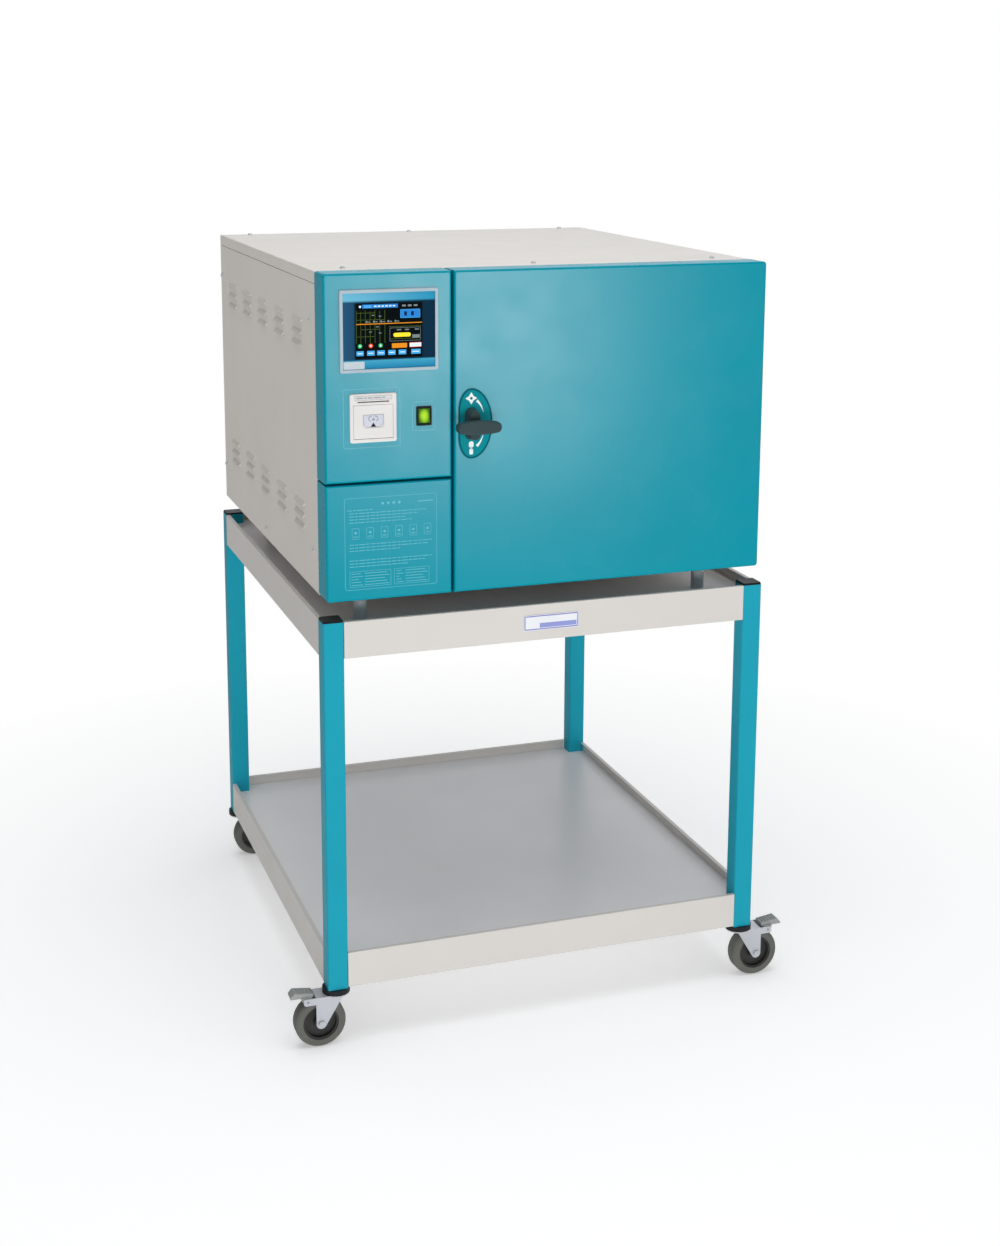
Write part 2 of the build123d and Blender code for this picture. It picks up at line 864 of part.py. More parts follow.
# Heating jacket and insulation wrapped round the tub.
with BuildPart() as insulation_jacket:
    block(
        chamber_low_x - insulation,
        chamber_high_x + insulation,
        frame_back_y,
        chamber_back_y + chamber_wall + insulation,
        jacket_low_z,
        chamber_high_z + insulation,
    )
    block(
        chamber_low_x,
        chamber_high_x,
        frame_back_y - cut_past,
        chamber_back_y + chamber_wall,
        chamber_low_z,
        chamber_high_z,
        mode=Mode.SUBTRACT,
    )
save(insulation_jacket, "insulation_jacket")

# Shelf runners: angles on the chamber walls.
shelf_front_y = frame_face_y + shelf_setback
with BuildPart() as shelf_runners:
    for sign in (-1, 1):
        wall = chamber_centre_x + sign * chamber_inner / 2
        toe = wall - sign * runner_leg
        web = wall - sign * runner_sheet
        runner_back = shelf_front_y + shelf_length
        low = shelf_height - runner_sheet
        block(min(wall, toe), max(wall, toe), shelf_front_y, runner_back, low, shelf_height)
        block(min(wall, web), max(wall, web), shelf_front_y, runner_back, shelf_height - runner_leg, low)
save(shelf_runners, "shelf_runners")

# Perforated shelf with a low rim, resting on the runners.
shelf_half = chamber_inner / 2 - shelf_side_slack
with BuildPart() as chamber_shelf:
    block(
        chamber_centre_x - shelf_half,
        chamber_centre_x + shelf_half,
        shelf_front_y,
        shelf_front_y + shelf_length,
        shelf_height,
        shelf_height + shelf_rim,
    )
    block(
        chamber_centre_x - shelf_half + shelf_sheet,
        chamber_centre_x + shelf_half - shelf_sheet,
        shelf_front_y + shelf_sheet,
        shelf_front_y + shelf_length - shelf_sheet,
        shelf_height + shelf_sheet,
        shelf_height + shelf_rim + cut_past,
        mode=Mode.SUBTRACT,
    )
    with BuildSketch(Plane.XY.offset(shelf_height)):
        with Locations((chamber_centre_x, shelf_front_y + shelf_length / 2)):
            with GridLocations(shelf_slot_pitch_x, shelf_slot_pitch_y, shelf_slot_columns, shelf_slot_rows):
                SlotOverall(shelf_slot_length, shelf_slot_height)
    extrude(amount=shelf_sheet, mode=Mode.SUBTRACT)
save(chamber_shelf, "chamber_shelf")

# Vacuum pump in the column: motor on a foot, with a head block at one end.
with BuildPart() as vacuum_pump:
    pump_floor = body_bottom + sheet
    pump_deck = pump_floor + pump_base_height
    head_y = pump_y + pump_head_start
    block(
        pump_x - pump_base_half_width,
        pump_x + pump_base_half_width,
        pump_y - pump_base_half_length,
        pump_y + pump_base_half_length,
        pump_floor,
        pump_deck,
    )
    block(
        pump_x - pump_head_half_width,
        pump_x + pump_head_half_width,
        head_y,
        head_y + pump_head_length,
        pump_deck,
        pump_deck + pump_head_height,
    )
    with BuildSketch(Plane.XZ.offset(-head_y)):
        with Locations((pump_x, pump_deck + pump_motor_radius)):
            Circle(pump_motor_radius)
    extrude(amount=pump_motor_length)
save(vacuum_pump, "vacuum_pump")

# Exhaust outlet: a barbed hose tail on a hexagon, through the rear panel.
outlet_inner_y = body_back_y - outlet_thread
outlet_end_y = body_back_y + outlet_reach
barb_start_y = outlet_end_y - barb_count * barb_pitch
tail_section = [
    (outlet_inner_y, outlet_bore),
    (outlet_inner_y, outlet_radius),
    (body_back_y + outlet_thread, outlet_radius),
    (body_back_y + outlet_thread, outlet_radius - barb_step),
    (barb_start_y, outlet_radius - barb_step),
]
for barb in range(barb_count):
    crest_y = barb_start_y + barb * barb_pitch
    tail_section.append((crest_y, outlet_radius))
    tail_section.append((crest_y + barb_pitch, outlet_radius - barb_step))
tail_section.append((outlet_end_y, outlet_bore))
with BuildPart() as exhaust_outlet:
    with BuildSketch(Plane(origin=(outlet_x, body_back_y, outlet_z), x_dir=(1, 0, 0), z_dir=(0, 1, 0))):
        RegularPolygon(outlet_hex_radius, 6)
    extrude(amount=outlet_hex_height)
    with BuildSketch(Plane(origin=(outlet_x, 0, outlet_z), x_dir=(0, 1, 0), z_dir=(1, 0, 0))):
        with BuildLine():
            Polyline(*tail_section, close=True)
        make_face()
    revolve(axis=Axis((outlet_x, 0, outlet_z), (0, 1, 0)))
    with BuildSketch(Plane(origin=(outlet_x, outlet_inner_y, outlet_z), x_dir=(1, 0, 0), z_dir=(0, 1, 0))):
        Circle(outlet_bore)
    extrude(amount=outlet_thread + outlet_reach, mode=Mode.SUBTRACT)
save(exhaust_outlet, "exhaust_outlet")

# Power inlet: a flanged body through the rear panel, with its socket standing outside.
socket_half_x = inlet_width / 2 - socket_side
socket_half_z = inlet_height / 2 - socket_end
with BuildPart() as power_inlet:
    with BuildSketch(Plane(origin=(inlet_x, body_back_y, inlet_z), x_dir=(1, 0, 0), z_dir=(0, 1, 0))):
        RectangleRounded(
            inlet_width + 2 * inlet_flange_side,
            inlet_height + 2 * inlet_flange_end,
            inlet_corner,
        )
    extrude(amount=inlet_flange_thickness)
    block(
        inlet_x - inlet_width / 2,
        inlet_x + inlet_width / 2,
        body_back_y - inlet_rear,
        body_back_y + inlet_reach,
        inlet_z - inlet_height / 2,
        inlet_z + inlet_height / 2,
    )
    block(
        inlet_x - socket_half_x,
        inlet_x + socket_half_x,
        body_back_y + inlet_reach - socket_depth,
        body_back_y + inlet_reach + cut_past,
        inlet_z - socket_half_z,
        inlet_z + socket_half_z,
        mode=Mode.SUBTRACT,
    )
save(power_inlet, "power_inlet")


# Control panel: the upper teal pan of the column, with three openings.
column_left = -half_front_w
column_right = column_left + column_width
with BuildPart() as control_panel:
    block(column_left, column_right, front_face_y, frame_face_y, service_top + service_gap, front_top)
    outer_corner = control_panel.edges().filter_by(Axis.Y).sort_by(Axis.X)[:2].sort_by(Axis.Z)[-1]
    fillet(outer_corner, front_corner)
    fillet(control_panel.faces().sort_by(Axis.Y)[0].edges(), front_edge)
    offset(amount=-skin, openings=control_panel.faces().sort_by(Axis.Y)[-1])
    with BuildSketch(Plane.XZ.offset(-front_face_y)):
        with Locations((screen_left + screen_width / 2, screen_bottom + screen_height / 2)):
            Rectangle(screen_width - 2 * body_inset, screen_height - 2 * body_inset)
        with Locations((printer_left + printer_width / 2, printer_bottom + printer_height / 2)):
            Rectangle(printer_width - 2 * body_inset, printer_height - 2 * body_inset)
        with Locations((switch_left + switch_width / 2, switch_bottom + switch_height / 2)):
            Rectangle(switch_width - body_inset, switch_height - body_inset)
    extrude(amount=2 * skin, both=True, mode=Mode.SUBTRACT)
save(control_panel, "control_panel")

# Service panel: the lower teal pan, plain.
with BuildPart() as service_panel:
    block(column_left, column_right, front_face_y, frame_face_y, front_bottom, service_top)
    outer_corner = service_panel.edges().filter_by(Axis.Y).sort_by(Axis.X)[:2].sort_by(Axis.Z)[0]
    fillet(outer_corner, front_corner)
    fillet(service_panel.faces().sort_by(Axis.Y)[0].edges(), front_edge)
    offset(amount=-skin, openings=service_panel.faces().sort_by(Axis.Y)[-1])
save(service_panel, "service_panel")

# Touch screen: a thin frame with the module behind it, and the glass let into the frame.
screen_x = screen_left + screen_width / 2
screen_z = screen_bottom + screen_height / 2
screen_front_y = front_face_y - screen_proud
module_inset = body_inset + module_slack
with BuildPart() as screen_bezel:
    with BuildSketch(Plane.XZ.offset(-front_face_y)):
        with Locations((screen_x, screen_z)):
            RectangleRounded(screen_width, screen_height, screen_round)
    extrude(amount=screen_proud)
    fillet(screen_bezel.faces().sort_by(Axis.Y)[0].edges(), screen_edge)
    with BuildSketch(Plane.XZ.offset(-front_face_y)):
        with Locations((screen_x, screen_z)):
            Rectangle(screen_width - 2 * module_inset, screen_height - 2 * module_inset)
    extrude(amount=-screen_body_depth)
    with BuildSketch(Plane.XZ.offset(-screen_front_y)):
        with Locations((screen_x, screen_z)):
            Rectangle(screen_width - 2 * screen_frame, screen_height - 2 * screen_frame)
    extrude(amount=-screen_recess - glass_thickness, mode=Mode.SUBTRACT)
save(screen_bezel, "screen_bezel")

with BuildPart() as screen_glass:
    with BuildSketch(Plane.XZ.offset(-screen_front_y - screen_recess)):
        with Locations((screen_x, screen_z)):
            Rectangle(
                screen_width - 2 * screen_frame - 2 * glass_gap,
                screen_height - 2 * screen_frame - 2 * glass_gap,
            )
    extrude(amount=-glass_thickness)
save(screen_glass, "screen_glass")

# Strip printer: housing with a paper well, a lid hinged along its lower edge and a paper roll.
printer_x = printer_left + printer_width / 2
printer_z = printer_bottom + printer_height / 2
printer_front_y = front_face_y - printer_proud
lid_low = printer_bottom + lid_margin_bottom
lid_axis_z = lid_low + lid_thickness / 2
lid_axis_y = printer_front_y + lid_thickness / 2
lid_centre_z = lid_low + lid_height / 2
well_low = lid_low + well_step
well_high = lid_low + lid_height - well_step
well_back_y = printer_front_y + lid_thickness + well_depth
paper_y = printer_front_y + lid_thickness + paper_radius + paper_gap
paper_z = well_low + paper_radius + paper_gap
with BuildPart() as printer_housing:
    with BuildSketch(Plane.XZ.offset(-front_face_y)):
        with Locations((printer_x, printer_z)):
            RectangleRounded(printer_width, printer_height, printer_round)
    extrude(amount=printer_proud)
    fillet(printer_housing.faces().sort_by(Axis.Y)[0].edges(), printer_edge)
    with BuildSketch(Plane.XZ.offset(-front_face_y)):
        with Locations((printer_x, printer_z)):
            Rectangle(printer_width - 2 * module_inset, printer_height - 2 * module_inset)
    extrude(amount=-printer_body_depth)
    with BuildSketch(Plane.XZ.offset(-printer_front_y)):
        with Locations((printer_x, lid_centre_z)):
            Rectangle(lid_width + 2 * lid_gap, lid_height + 2 * lid_gap)
    extrude(amount=-lid_thickness - lid_gap, mode=Mode.SUBTRACT)
    block(
        printer_x - lid_width / 2 + well_side,
        printer_x + lid_width / 2 - well_side,
        printer_front_y,
        well_back_y,
        well_low,
        well_high,
        mode=Mode.SUBTRACT,
    )
    with BuildSketch(Plane.XZ.offset(-printer_front_y)):
        with Locations((printer_x, lid_low + lid_height + slot_above_lid)):
            Rectangle(paper_width + 2 * slot_side, slot_height)
    extrude(amount=-slot_depth, mode=Mode.SUBTRACT)
    with BuildSketch(Plane(origin=(printer_x, lid_axis_y, lid_axis_z), x_dir=(0, 1, 0), z_dir=(1, 0, 0))):
        Circle(lid_pin_radius + running_gap)
    extrude(amount=lid_width / 2 + lid_pin_length + 2 * lid_gap, both=True, mode=Mode.SUBTRACT)
save(printer_housing, "printer_housing")

with BuildPart() as printer_lid:
    lid_section = Plane(origin=(printer_x, 0, 0), x_dir=(0, 1, 0), z_dir=(1, 0, 0))
    with BuildSketch(lid_section):
        with Locations((lid_axis_y, lid_axis_z)):
            Circle(lid_thickness / 2)
        with Locations((lid_axis_y, lid_axis_z + (lid_height - lid_thickness / 2) / 2)):
            Rectangle(lid_thickness, lid_height - lid_thickness / 2)
    extrude(amount=lid_width / 2, both=True)
    with BuildSketch(lid_section):
        with Locations((lid_axis_y, lid_axis_z)):
            Circle(lid_pin_radius)
    extrude(amount=lid_width / 2 + lid_pin_length, both=True)
    with BuildSketch(Plane.XZ.offset(-printer_front_y)):
        with Locations((printer_x, lid_centre_z + lid_window_rise)):
            RectangleRounded(lid_window_width, lid_window_height, lid_window_corner)
    extrude(amount=-lid_window_depth, mode=Mode.SUBTRACT)
save(printer_lid, "printer_lid")

with BuildPart() as paper_roll:
    with BuildSketch(Plane(origin=(printer_x, paper_y, paper_z), x_dir=(0, 1, 0), z_dir=(1, 0, 0))):
        Circle(paper_radius)
        Circle(paper_core_radius, mode=Mode.SUBTRACT)
    extrude(amount=paper_width / 2, both=True)
save(paper_roll, "paper_roll")

# Power switch: a frame snapped into the panel and a lit rocker on two stub pins.
switch_x = switch_left + switch_width / 2
switch_z = switch_bottom + switch_height / 2
switch_front_y = front_face_y - switch_proud
with BuildPart() as switch_bezel:
    with BuildSketch(Plane.XZ.offset(-front_face_y)):
        with Locations((switch_x, switch_z)):
            RectangleRounded(switch_width, switch_height, switch_round)
    extrude(amount=switch_proud)
    with BuildSketch(Plane.XZ.offset(-front_face_y)):
        with Locations((switch_x, switch_z)):
            Rectangle(switch_width - module_inset, switch_height - module_inset)
    extrude(amount=-switch_body_depth)
    with BuildSketch(Plane.XZ.offset(-switch_front_y)):
        with Locations((switch_x, switch_z)):
            Rectangle(rocker_width + 2 * rocker_gap, rocker_height + 2 * rocker_gap)
    extrude(amount=-switch_proud - rocker_well, mode=Mode.SUBTRACT)
    with BuildSketch(Plane(origin=(switch_x, front_face_y, switch_z), x_dir=(0, 1, 0), z_dir=(1, 0, 0))):
        Circle(rocker_pivot_radius + running_gap)
    extrude(amount=rocker_width / 2 + rocker_pin_length, both=True, mode=Mode.SUBTRACT)
save(switch_bezel, "switch_bezel")

with BuildPart() as rocker_button:
    outward = Vector(0, -1, 0).rotate(Axis.X, -rocker_tilt)
    tilt = Plane(origin=(switch_x, front_face_y, switch_z), x_dir=outward, z_dir=(-1, 0, 0))
    half_rocker = rocker_height / 2 - rocker_gap
    with BuildSketch(tilt):
        with BuildLine():
            Polyline(
                (rocker_crest, half_rocker),
                (rocker_dip, 0),
                (rocker_crest, -half_rocker),
                (-rocker_heel, -half_rocker + rocker_heel_in),
                (-rocker_belly, 0),
                (-rocker_heel, half_rocker - rocker_heel_in),
                close=True,
            )
        make_face()
    extrude(amount=rocker_width / 2, both=True)
    with BuildSketch(tilt):
        Circle(rocker_pivot_radius)
    extrude(amount=rocker_width / 2 + rocker_pin_length - running_gap, both=True)
save(rocker_button, "rocker_button")

# Door shell: a deep teal pan with soft front edges, notched at the hinges.
notch_left = hinge_x - hinge_barrel_radius - hinge_notch_slack
notch_front_y = hinge_y - hinge_barrel_radius - 3 * hinge_notch_slack
hinge_half = hinge_knuckle_height / 2 + hinge_ear_gap + hinge_ear_height


def hinge_notches():
    """Cut-outs that let the fixed hinge ears pass as the door swings."""
    for height in hinge_heights:
        block(
            notch_left,
            door_right + cut_past,
            notch_front_y,
            door_back_y + gasket_thickness,
            height - hinge_half - hinge_notch_slack,
            height + hinge_half + hinge_notch_slack,
            mode=Mode.SUBTRACT,
        )


with BuildPart() as door_shell:
    block(door_left, door_right, front_face_y, door_back_y, front_bottom, front_top)
    right_corners = door_shell.edges().filter_by(Axis.Y).sort_by(Axis.X)[-2:]
    fillet(right_corners, front_corner)
    fillet(door_shell.faces().sort_by(Axis.Y)[0].edges(), front_edge)
    offset(amount=-skin, openings=door_shell.faces().sort_by(Axis.Y)[-1])
    with BuildSketch(Plane.XZ.offset(-front_face_y)):
        with Locations((handle_x, handle_z)):
            Circle(spindle_radius + spindle_clearance)
    extrude(amount=2 * skin, both=True, mode=Mode.SUBTRACT)
    hinge_notches()
save(door_shell, "door_shell")

# Door inner plate: closes the pan, with a shallow plug for the chamber mouth and a gasket channel.
plate_low_x = door_left + skin
plate_high_x = door_right - skin
with BuildPart() as door_inner_plate:
    with BuildSketch(Plane.XZ.offset(-(door_back_y - sheet))):
        with Locations(((plate_low_x + plate_high_x) / 2, (front_bottom + front_top) / 2)):
            RectangleRounded(
                plate_high_x - plate_low_x,
                front_top - front_bottom - 2 * skin,
                front_corner - skin,
            )
    extrude(amount=-sheet)
    with BuildSketch(Plane.XZ.offset(-(door_back_y - gasket_thickness - sheet))):
        with Locations((chamber_centre_x, chamber_centre_z)):
            Rectangle(gasket_outer + 2 * sheet, gasket_outer + 2 * sheet)
            Rectangle(gasket_inner - 2 * sheet, gasket_inner - 2 * sheet, mode=Mode.SUBTRACT)
    extrude(amount=-(gasket_thickness + sheet))
    with BuildSketch(Plane.XZ.offset(-(door_back_y - gasket_seat))):
        with Locations((chamber_centre_x, chamber_centre_z)):
            Rectangle(gasket_outer, gasket_outer)
            Rectangle(gasket_inner, gasket_inner, mode=Mode.SUBTRACT)
    extrude(amount=-gasket_thickness, mode=Mode.SUBTRACT)
    with BuildSketch(Plane.XZ.offset(-door_back_y)):
        with Locations((chamber_centre_x, chamber_centre_z)):
            RectangleRounded(chamber_inner - 2 * plug_slack, chamber_inner - 2 * plug_slack, plug_corner)
    extrude(amount=-plug_reach, taper=plug_taper)
    with BuildSketch(Plane.XZ.offset(-door_back_y)):
        with Locations((handle_x, handle_z)):
            Circle(spindle_radius + running_gap)
    extrude(amount=3 * sheet, both=True, mode=Mode.SUBTRACT)
    hinge_notches()
save(door_inner_plate, "door_inner_plate")

# Silicone gasket in its channel, just clear of the chamber flange.
with BuildPart() as door_gasket:
    with BuildSketch(Plane.XZ.offset(-(door_back_y - gasket_seat))):
        with Locations((chamber_centre_x, chamber_centre_z)):
            Rectangle(gasket_outer, gasket_outer)
            Rectangle(gasket_inner, gasket_inner, mode=Mode.SUBTRACT)
    extrude(amount=-(gasket_seat + chamber_front_y - gasket_gap - door_back_y))
save(door_gasket, "door_gasket")

# Fixed hinge brackets: a foot on the front frame with two ears each.
with BuildPart() as hinge_brackets:
    for height in hinge_heights:
        foot_front = frame_face_y - hinge_foot_thickness
        block(
            half_body_w - hinge_foot_width,
            half_body_w,
            foot_front,
            frame_face_y,
            height - hinge_half,
            height + hinge_half,
        )
        for low in (height - hinge_half, height + hinge_knuckle_height / 2 + hinge_ear_gap):
            with BuildSketch(Plane.XY.offset(low)):
                with Locations((hinge_x, hinge_y)):
                    Circle(hinge_barrel_radius)
                with Locations((hinge_x, (hinge_y + foot_front) / 2)):
                    Rectangle(2 * hinge_barrel_radius, foot_front - hinge_y)
                with Locations((hinge_x, hinge_y)):
                    Circle(hinge_pin_radius + running_gap, mode=Mode.SUBTRACT)
            extrude(amount=hinge_ear_height)
save(hinge_brackets, "hinge_brackets")

# Door hinge leaves: a knuckle cranked back onto the inner plate.
with BuildPart() as hinge_leaves:
    for height in hinge_heights:
        leaf_back = door_back_y - sheet
        with BuildSketch(Plane.XY.offset(height - hinge_knuckle_height / 2)):
            with BuildLine():
                Polyline(
                    (hinge_x - hinge_leaf_reach, leaf_back),
                    (hinge_x - hinge_leaf_reach, leaf_back - hinge_leaf_thickness),
                    (hinge_x - 2 * hinge_barrel_radius, leaf_back - hinge_leaf_thickness),
                    (hinge_x, hinge_y - hinge_barrel_radius),
                    (hinge_x, hinge_y + hinge_barrel_radius),
                    (hinge_x - hinge_barrel_radius, leaf_back),
                    close=True,
                )
            make_face()
            with Locations((hinge_x, hinge_y)):
                Circle(hinge_barrel_radius)
                Circle(hinge_pin_radius + running_gap, mode=Mode.SUBTRACT)
        extrude(amount=hinge_knuckle_height)
save(hinge_leaves, "hinge_leaves")

with BuildPart() as hinge_pins:
    for height in hinge_heights:
        with BuildSketch(Plane.XY.offset(height - hinge_half)):
            with Locations((hinge_x, hinge_y)):
                Circle(hinge_pin_radius)
        extrude(amount=2 * hinge_half)
        with BuildSketch(Plane.XY.offset(height + hinge_half)):
            with Locations((hinge_x, hinge_y)):
                Circle(hinge_pin_radius + pin_head_rim)
        extrude(amount=pin_head_height)
save(hinge_pins, "hinge_pins")

# Escutcheon under the handle: straight on the left, bulging to the right.
with BuildPart() as handle_escutcheon:
    half = badge_height / 2
    left = badge_left
    with BuildSketch(Plane(origin=(handle_x, front_face_y, handle_z), x_dir=(1, 0, 0), z_dir=(0, -1, 0))):
        with BuildLine():
            EllipticalCenterArc((0, 0), badge_right, half, start_angle=-90, arc_size=180)
            EllipticalCenterArc((0, left), left, half - left, start_angle=90, arc_size=90)
            Line((-left, left), (-left, -left))
            EllipticalCenterArc((0, -left), left, half - left, start_angle=180, arc_size=90)
        make_face()
        Circle(spindle_radius + running_gap, mode=Mode.SUBTRACT)
    extrude(amount=badge_thickness)
save(handle_escutcheon, "handle_escutcheon")

# T-handle: an upright boss, a round neck and a level grip.
with BuildPart() as door_handle:
    with BuildSketch(Plane.XZ.offset(-handle_face_y + turning_gap)):
        with Locations(Location((handle_x, handle_z), 90)):
            SlotOverall(boss_height, boss_width)
    extrude(amount=boss_depth, taper=boss_taper)
    with BuildSketch(Plane.XZ.offset(-handle_face_y + turning_gap)):
        with Locations((handle_x, handle_z)):
            Circle(neck_radius)
    extrude(amount=handle_face_y - turning_gap - grip_back_y + neck_overlap)
    # The grip's outline bulges in the middle and at both ends.
    end_x = grip_length / 2 - grip_end_bulge
    end_z = grip_end_height / 2
    with BuildSketch(Plane(origin=(handle_x, grip_back_y, handle_z), x_dir=(1, 0, 0), z_dir=(0, -1, 0))):
        with BuildLine():
            ThreePointArc((-end_x, end_z), (0, grip_height / 2), (end_x, end_z))
            ThreePointArc((end_x, end_z), (grip_length / 2, 0), (end_x, -end_z))
            ThreePointArc((end_x, -end_z), (0, -grip_height / 2), (-end_x, -end_z))
            ThreePointArc((-end_x, -end_z), (-grip_length / 2, 0), (-end_x, end_z))
        outline = make_face()
        fillet(outline.vertices(), grip_corner)
    extrude(amount=grip_depth)
    front_of_grip = door_handle.faces().sort_by(Axis.Y)[0]
    fillet(front_of_grip.edges(), grip_soft)
    with BuildSketch(Plane.XZ.offset(-handle_face_y + turning_gap)):
        with Locations((handle_x, handle_z)):
            Circle(spindle_radius + running_gap)
    extrude(amount=spindle_socket, mode=Mode.SUBTRACT)
save(door_handle, "door_handle")

# Spindle from the handle's socket through the door to the pawl.
pawl_front_y = frame_back_y + keeper_thickness + pawl_behind
pawl_back_y = pawl_front_y + pawl_thickness
with BuildPart() as handle_spindle:
    with BuildSketch(Plane.XZ.offset(-handle_face_y + turning_gap + spindle_socket - running_gap)):
        with Locations((handle_x, handle_z)):
            Circle(spindle_radius)
    extrude(amount=-(pawl_back_y + spindle_tail - handle_face_y + turning_gap + spindle_socket - running_gap))
    with BuildSketch(Plane.XZ.offset(-(pawl_back_y + running_gap))):
        with Locations((handle_x, handle_z)):
            RegularPolygon(spindle_nut_radius, 6)
    extrude(amount=-spindle_tail + spindle_end)
save(handle_spindle, "handle_spindle")

# Latch pawl, hanging down while the handle is level.
with BuildPart() as latch_pawl:
    with BuildSketch(Plane.XZ.offset(-pawl_front_y)):
        with Locations((handle_x, handle_z)):
            Circle(pawl_width / 2 + pawl_boss_rim)
        with Locations((handle_x, handle_z - (pawl_length - pawl_width / 2) / 2)):
            Rectangle(pawl_width, pawl_length - pawl_width / 2)
        with Locations((handle_x, handle_z - pawl_length + pawl_width / 2)):
            Circle(pawl_width / 2)
        with Locations((handle_x, handle_z)):
            Circle(spindle_radius + running_gap, mode=Mode.SUBTRACT)
    extrude(amount=-pawl_thickness)
save(latch_pawl, "latch_pawl")

# Keeper: a wear plate behind the edge of the latch window.
with BuildPart() as latch_keeper:
    block(
        window_left - keeper_width,
        window_left,
        frame_back_y,
        frame_back_y + keeper_thickness,
        handle_z - keeper_height / 2,
        handle_z + keeper_height / 2,
    )
save(latch_keeper, "latch_keeper")
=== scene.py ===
"""Looks of the ethylene oxide sterilizer on its wheeled cart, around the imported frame."""

import math

import bmesh
import bpy
from mathutils import Matrix, Vector


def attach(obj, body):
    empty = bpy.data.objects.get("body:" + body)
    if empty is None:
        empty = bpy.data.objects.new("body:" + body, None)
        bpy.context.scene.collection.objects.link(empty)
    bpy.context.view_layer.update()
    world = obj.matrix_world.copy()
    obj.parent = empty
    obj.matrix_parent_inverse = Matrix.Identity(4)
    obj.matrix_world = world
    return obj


# Camera, in metres and degrees. The heading turns from +Y towards +X.
CAMERA_PLACE = (-1.2139, -3.6733, 1.8085)
CAMERA_HEADING = 19.19
CAMERA_PITCH = -10.96
CAMERA_ROLL = 0.24
CAMERA_LENS = 53.0
CAMERA_SHIFT_Y = -0.14

# Faces of the frame that printed pieces lie on, in metres.
FRONT_FACE = -0.486
GLASS_FACE = -0.4905
LID_FACE = -0.491
BADGE_FACE = -0.488
PLATE_FACE = -0.4915
INK = 0.00012

# Middle of the rocker button and how far its glow reaches, in metres.
ROCKER_CENTRE = (-0.2535, -0.490, 1.2255)
ROCKER_REACH = (0.0105, 0.1, 0.0150)

# The screen's glass along X, with where the painted sheen that lightens its left side ends, and where its
# pale bands begin and end along Z, in metres.
GLASS_LEFT = -0.4058
GLASS_SHEEN_END = -0.3400
GLASS_RIGHT = -0.2327
HEAD_BAND = (1.4385, 1.4425)
FOOT_BAND = (1.3325, 1.3345)
FOOT_FADE = (1.3172, 1.3335)

# Middle of the handle's escutcheon as (x, z), in millimetres.
BADGE_X = -162.0
BADGE_Z = 1206.0

# Crowns of the dome screws, in metres: (x, y) on the top and (y, z) on both sides.
TOP_CROWN = 1.4935
SIDE_CROWN = 0.4435
TOP_SCREWS = [(x, y) for x in (-0.376, 0.0, 0.376) for y in (-0.376, 0.470)]
SIDE_SCREWS = ((-0.384, 1.399), (0.478, 1.399), (-0.384, 0.962), (0.478, 0.962), (0.044, 0.906))
# Size, turn and sink of the dark crosses that paint the shade of the screw recesses.
RECESS_SIZE = (0.0038, 0.0009, 0.0002)
RECESS_TURN = 20
RECESS_SINK = 0.0001

# Floor: its radius, where it starts and ends fading to white, and its own faint light.
FLOOR_RADIUS = 30.0
FLOOR_COLOUR = (0.95, 0.95, 0.95, 1.0)
FLOOR_FADE = (0.7, 1.9)
FLOOR_LIFT = 0.3
FLOOR_IN_REFLECTIONS = 0.4

# World: its strength as light from left to right, and in reflections from left to right
# and from front to back, each with the part of the direction over which it changes.
WHITE = (1.0, 1.0, 1.0, 1.0)
DAYLIGHT = (0.96, 0.98, 1.0, 1.0)
LIGHT_LEVELS = (0.18, 0.44)
LIGHT_SPAN = (-0.8, 0.4)
MIRRORED_SIDEWAYS = (0.12, 1.0)
MIRRORED_SIDEWAYS_SPAN = (-0.3, 0.25)
MIRRORED_DEPTH = (0.15, 1.0)
MIRRORED_DEPTH_SPAN = (-0.2, 0.3)

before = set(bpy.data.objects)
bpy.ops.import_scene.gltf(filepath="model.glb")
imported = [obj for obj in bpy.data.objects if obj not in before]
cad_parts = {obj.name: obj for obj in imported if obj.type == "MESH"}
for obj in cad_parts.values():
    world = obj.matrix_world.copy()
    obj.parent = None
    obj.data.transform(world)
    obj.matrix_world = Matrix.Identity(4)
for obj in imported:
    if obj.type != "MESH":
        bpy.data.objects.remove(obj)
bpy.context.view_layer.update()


def shade(red, green, blue):
    """Linear colour for 8-bit screen values."""
    values = []
    for value in (red, green, blue):
        part = value / 255
        values.append(part / 12.92 if part <= 0.04045 else ((part + 0.055) / 1.055) ** 2.4)
    return (*values, 1.0)


# Material building


def map_range(tree, value, levels, span):
    """Carries a value from the two ends of span onto the two levels."""
    node = tree.nodes.new("ShaderNodeMapRange")
    node.inputs["From Min"].default_value, node.inputs["From Max"].default_value = span
    node.inputs["To Min"].default_value, node.inputs["To Max"].default_value = levels
    tree.links.new(value, node.inputs["Value"])
    return node.outputs["Result"]


def product(tree, first, second):
    """One value times another value or a plain number."""
    node = tree.nodes.new("ShaderNodeMath")
    node.operation = "MULTIPLY"
    tree.links.new(first, node.inputs[0])
    if isinstance(second, float):
        node.inputs[1].default_value = second
    else:
        tree.links.new(second, node.inputs[1])
    return node.outputs["Value"]


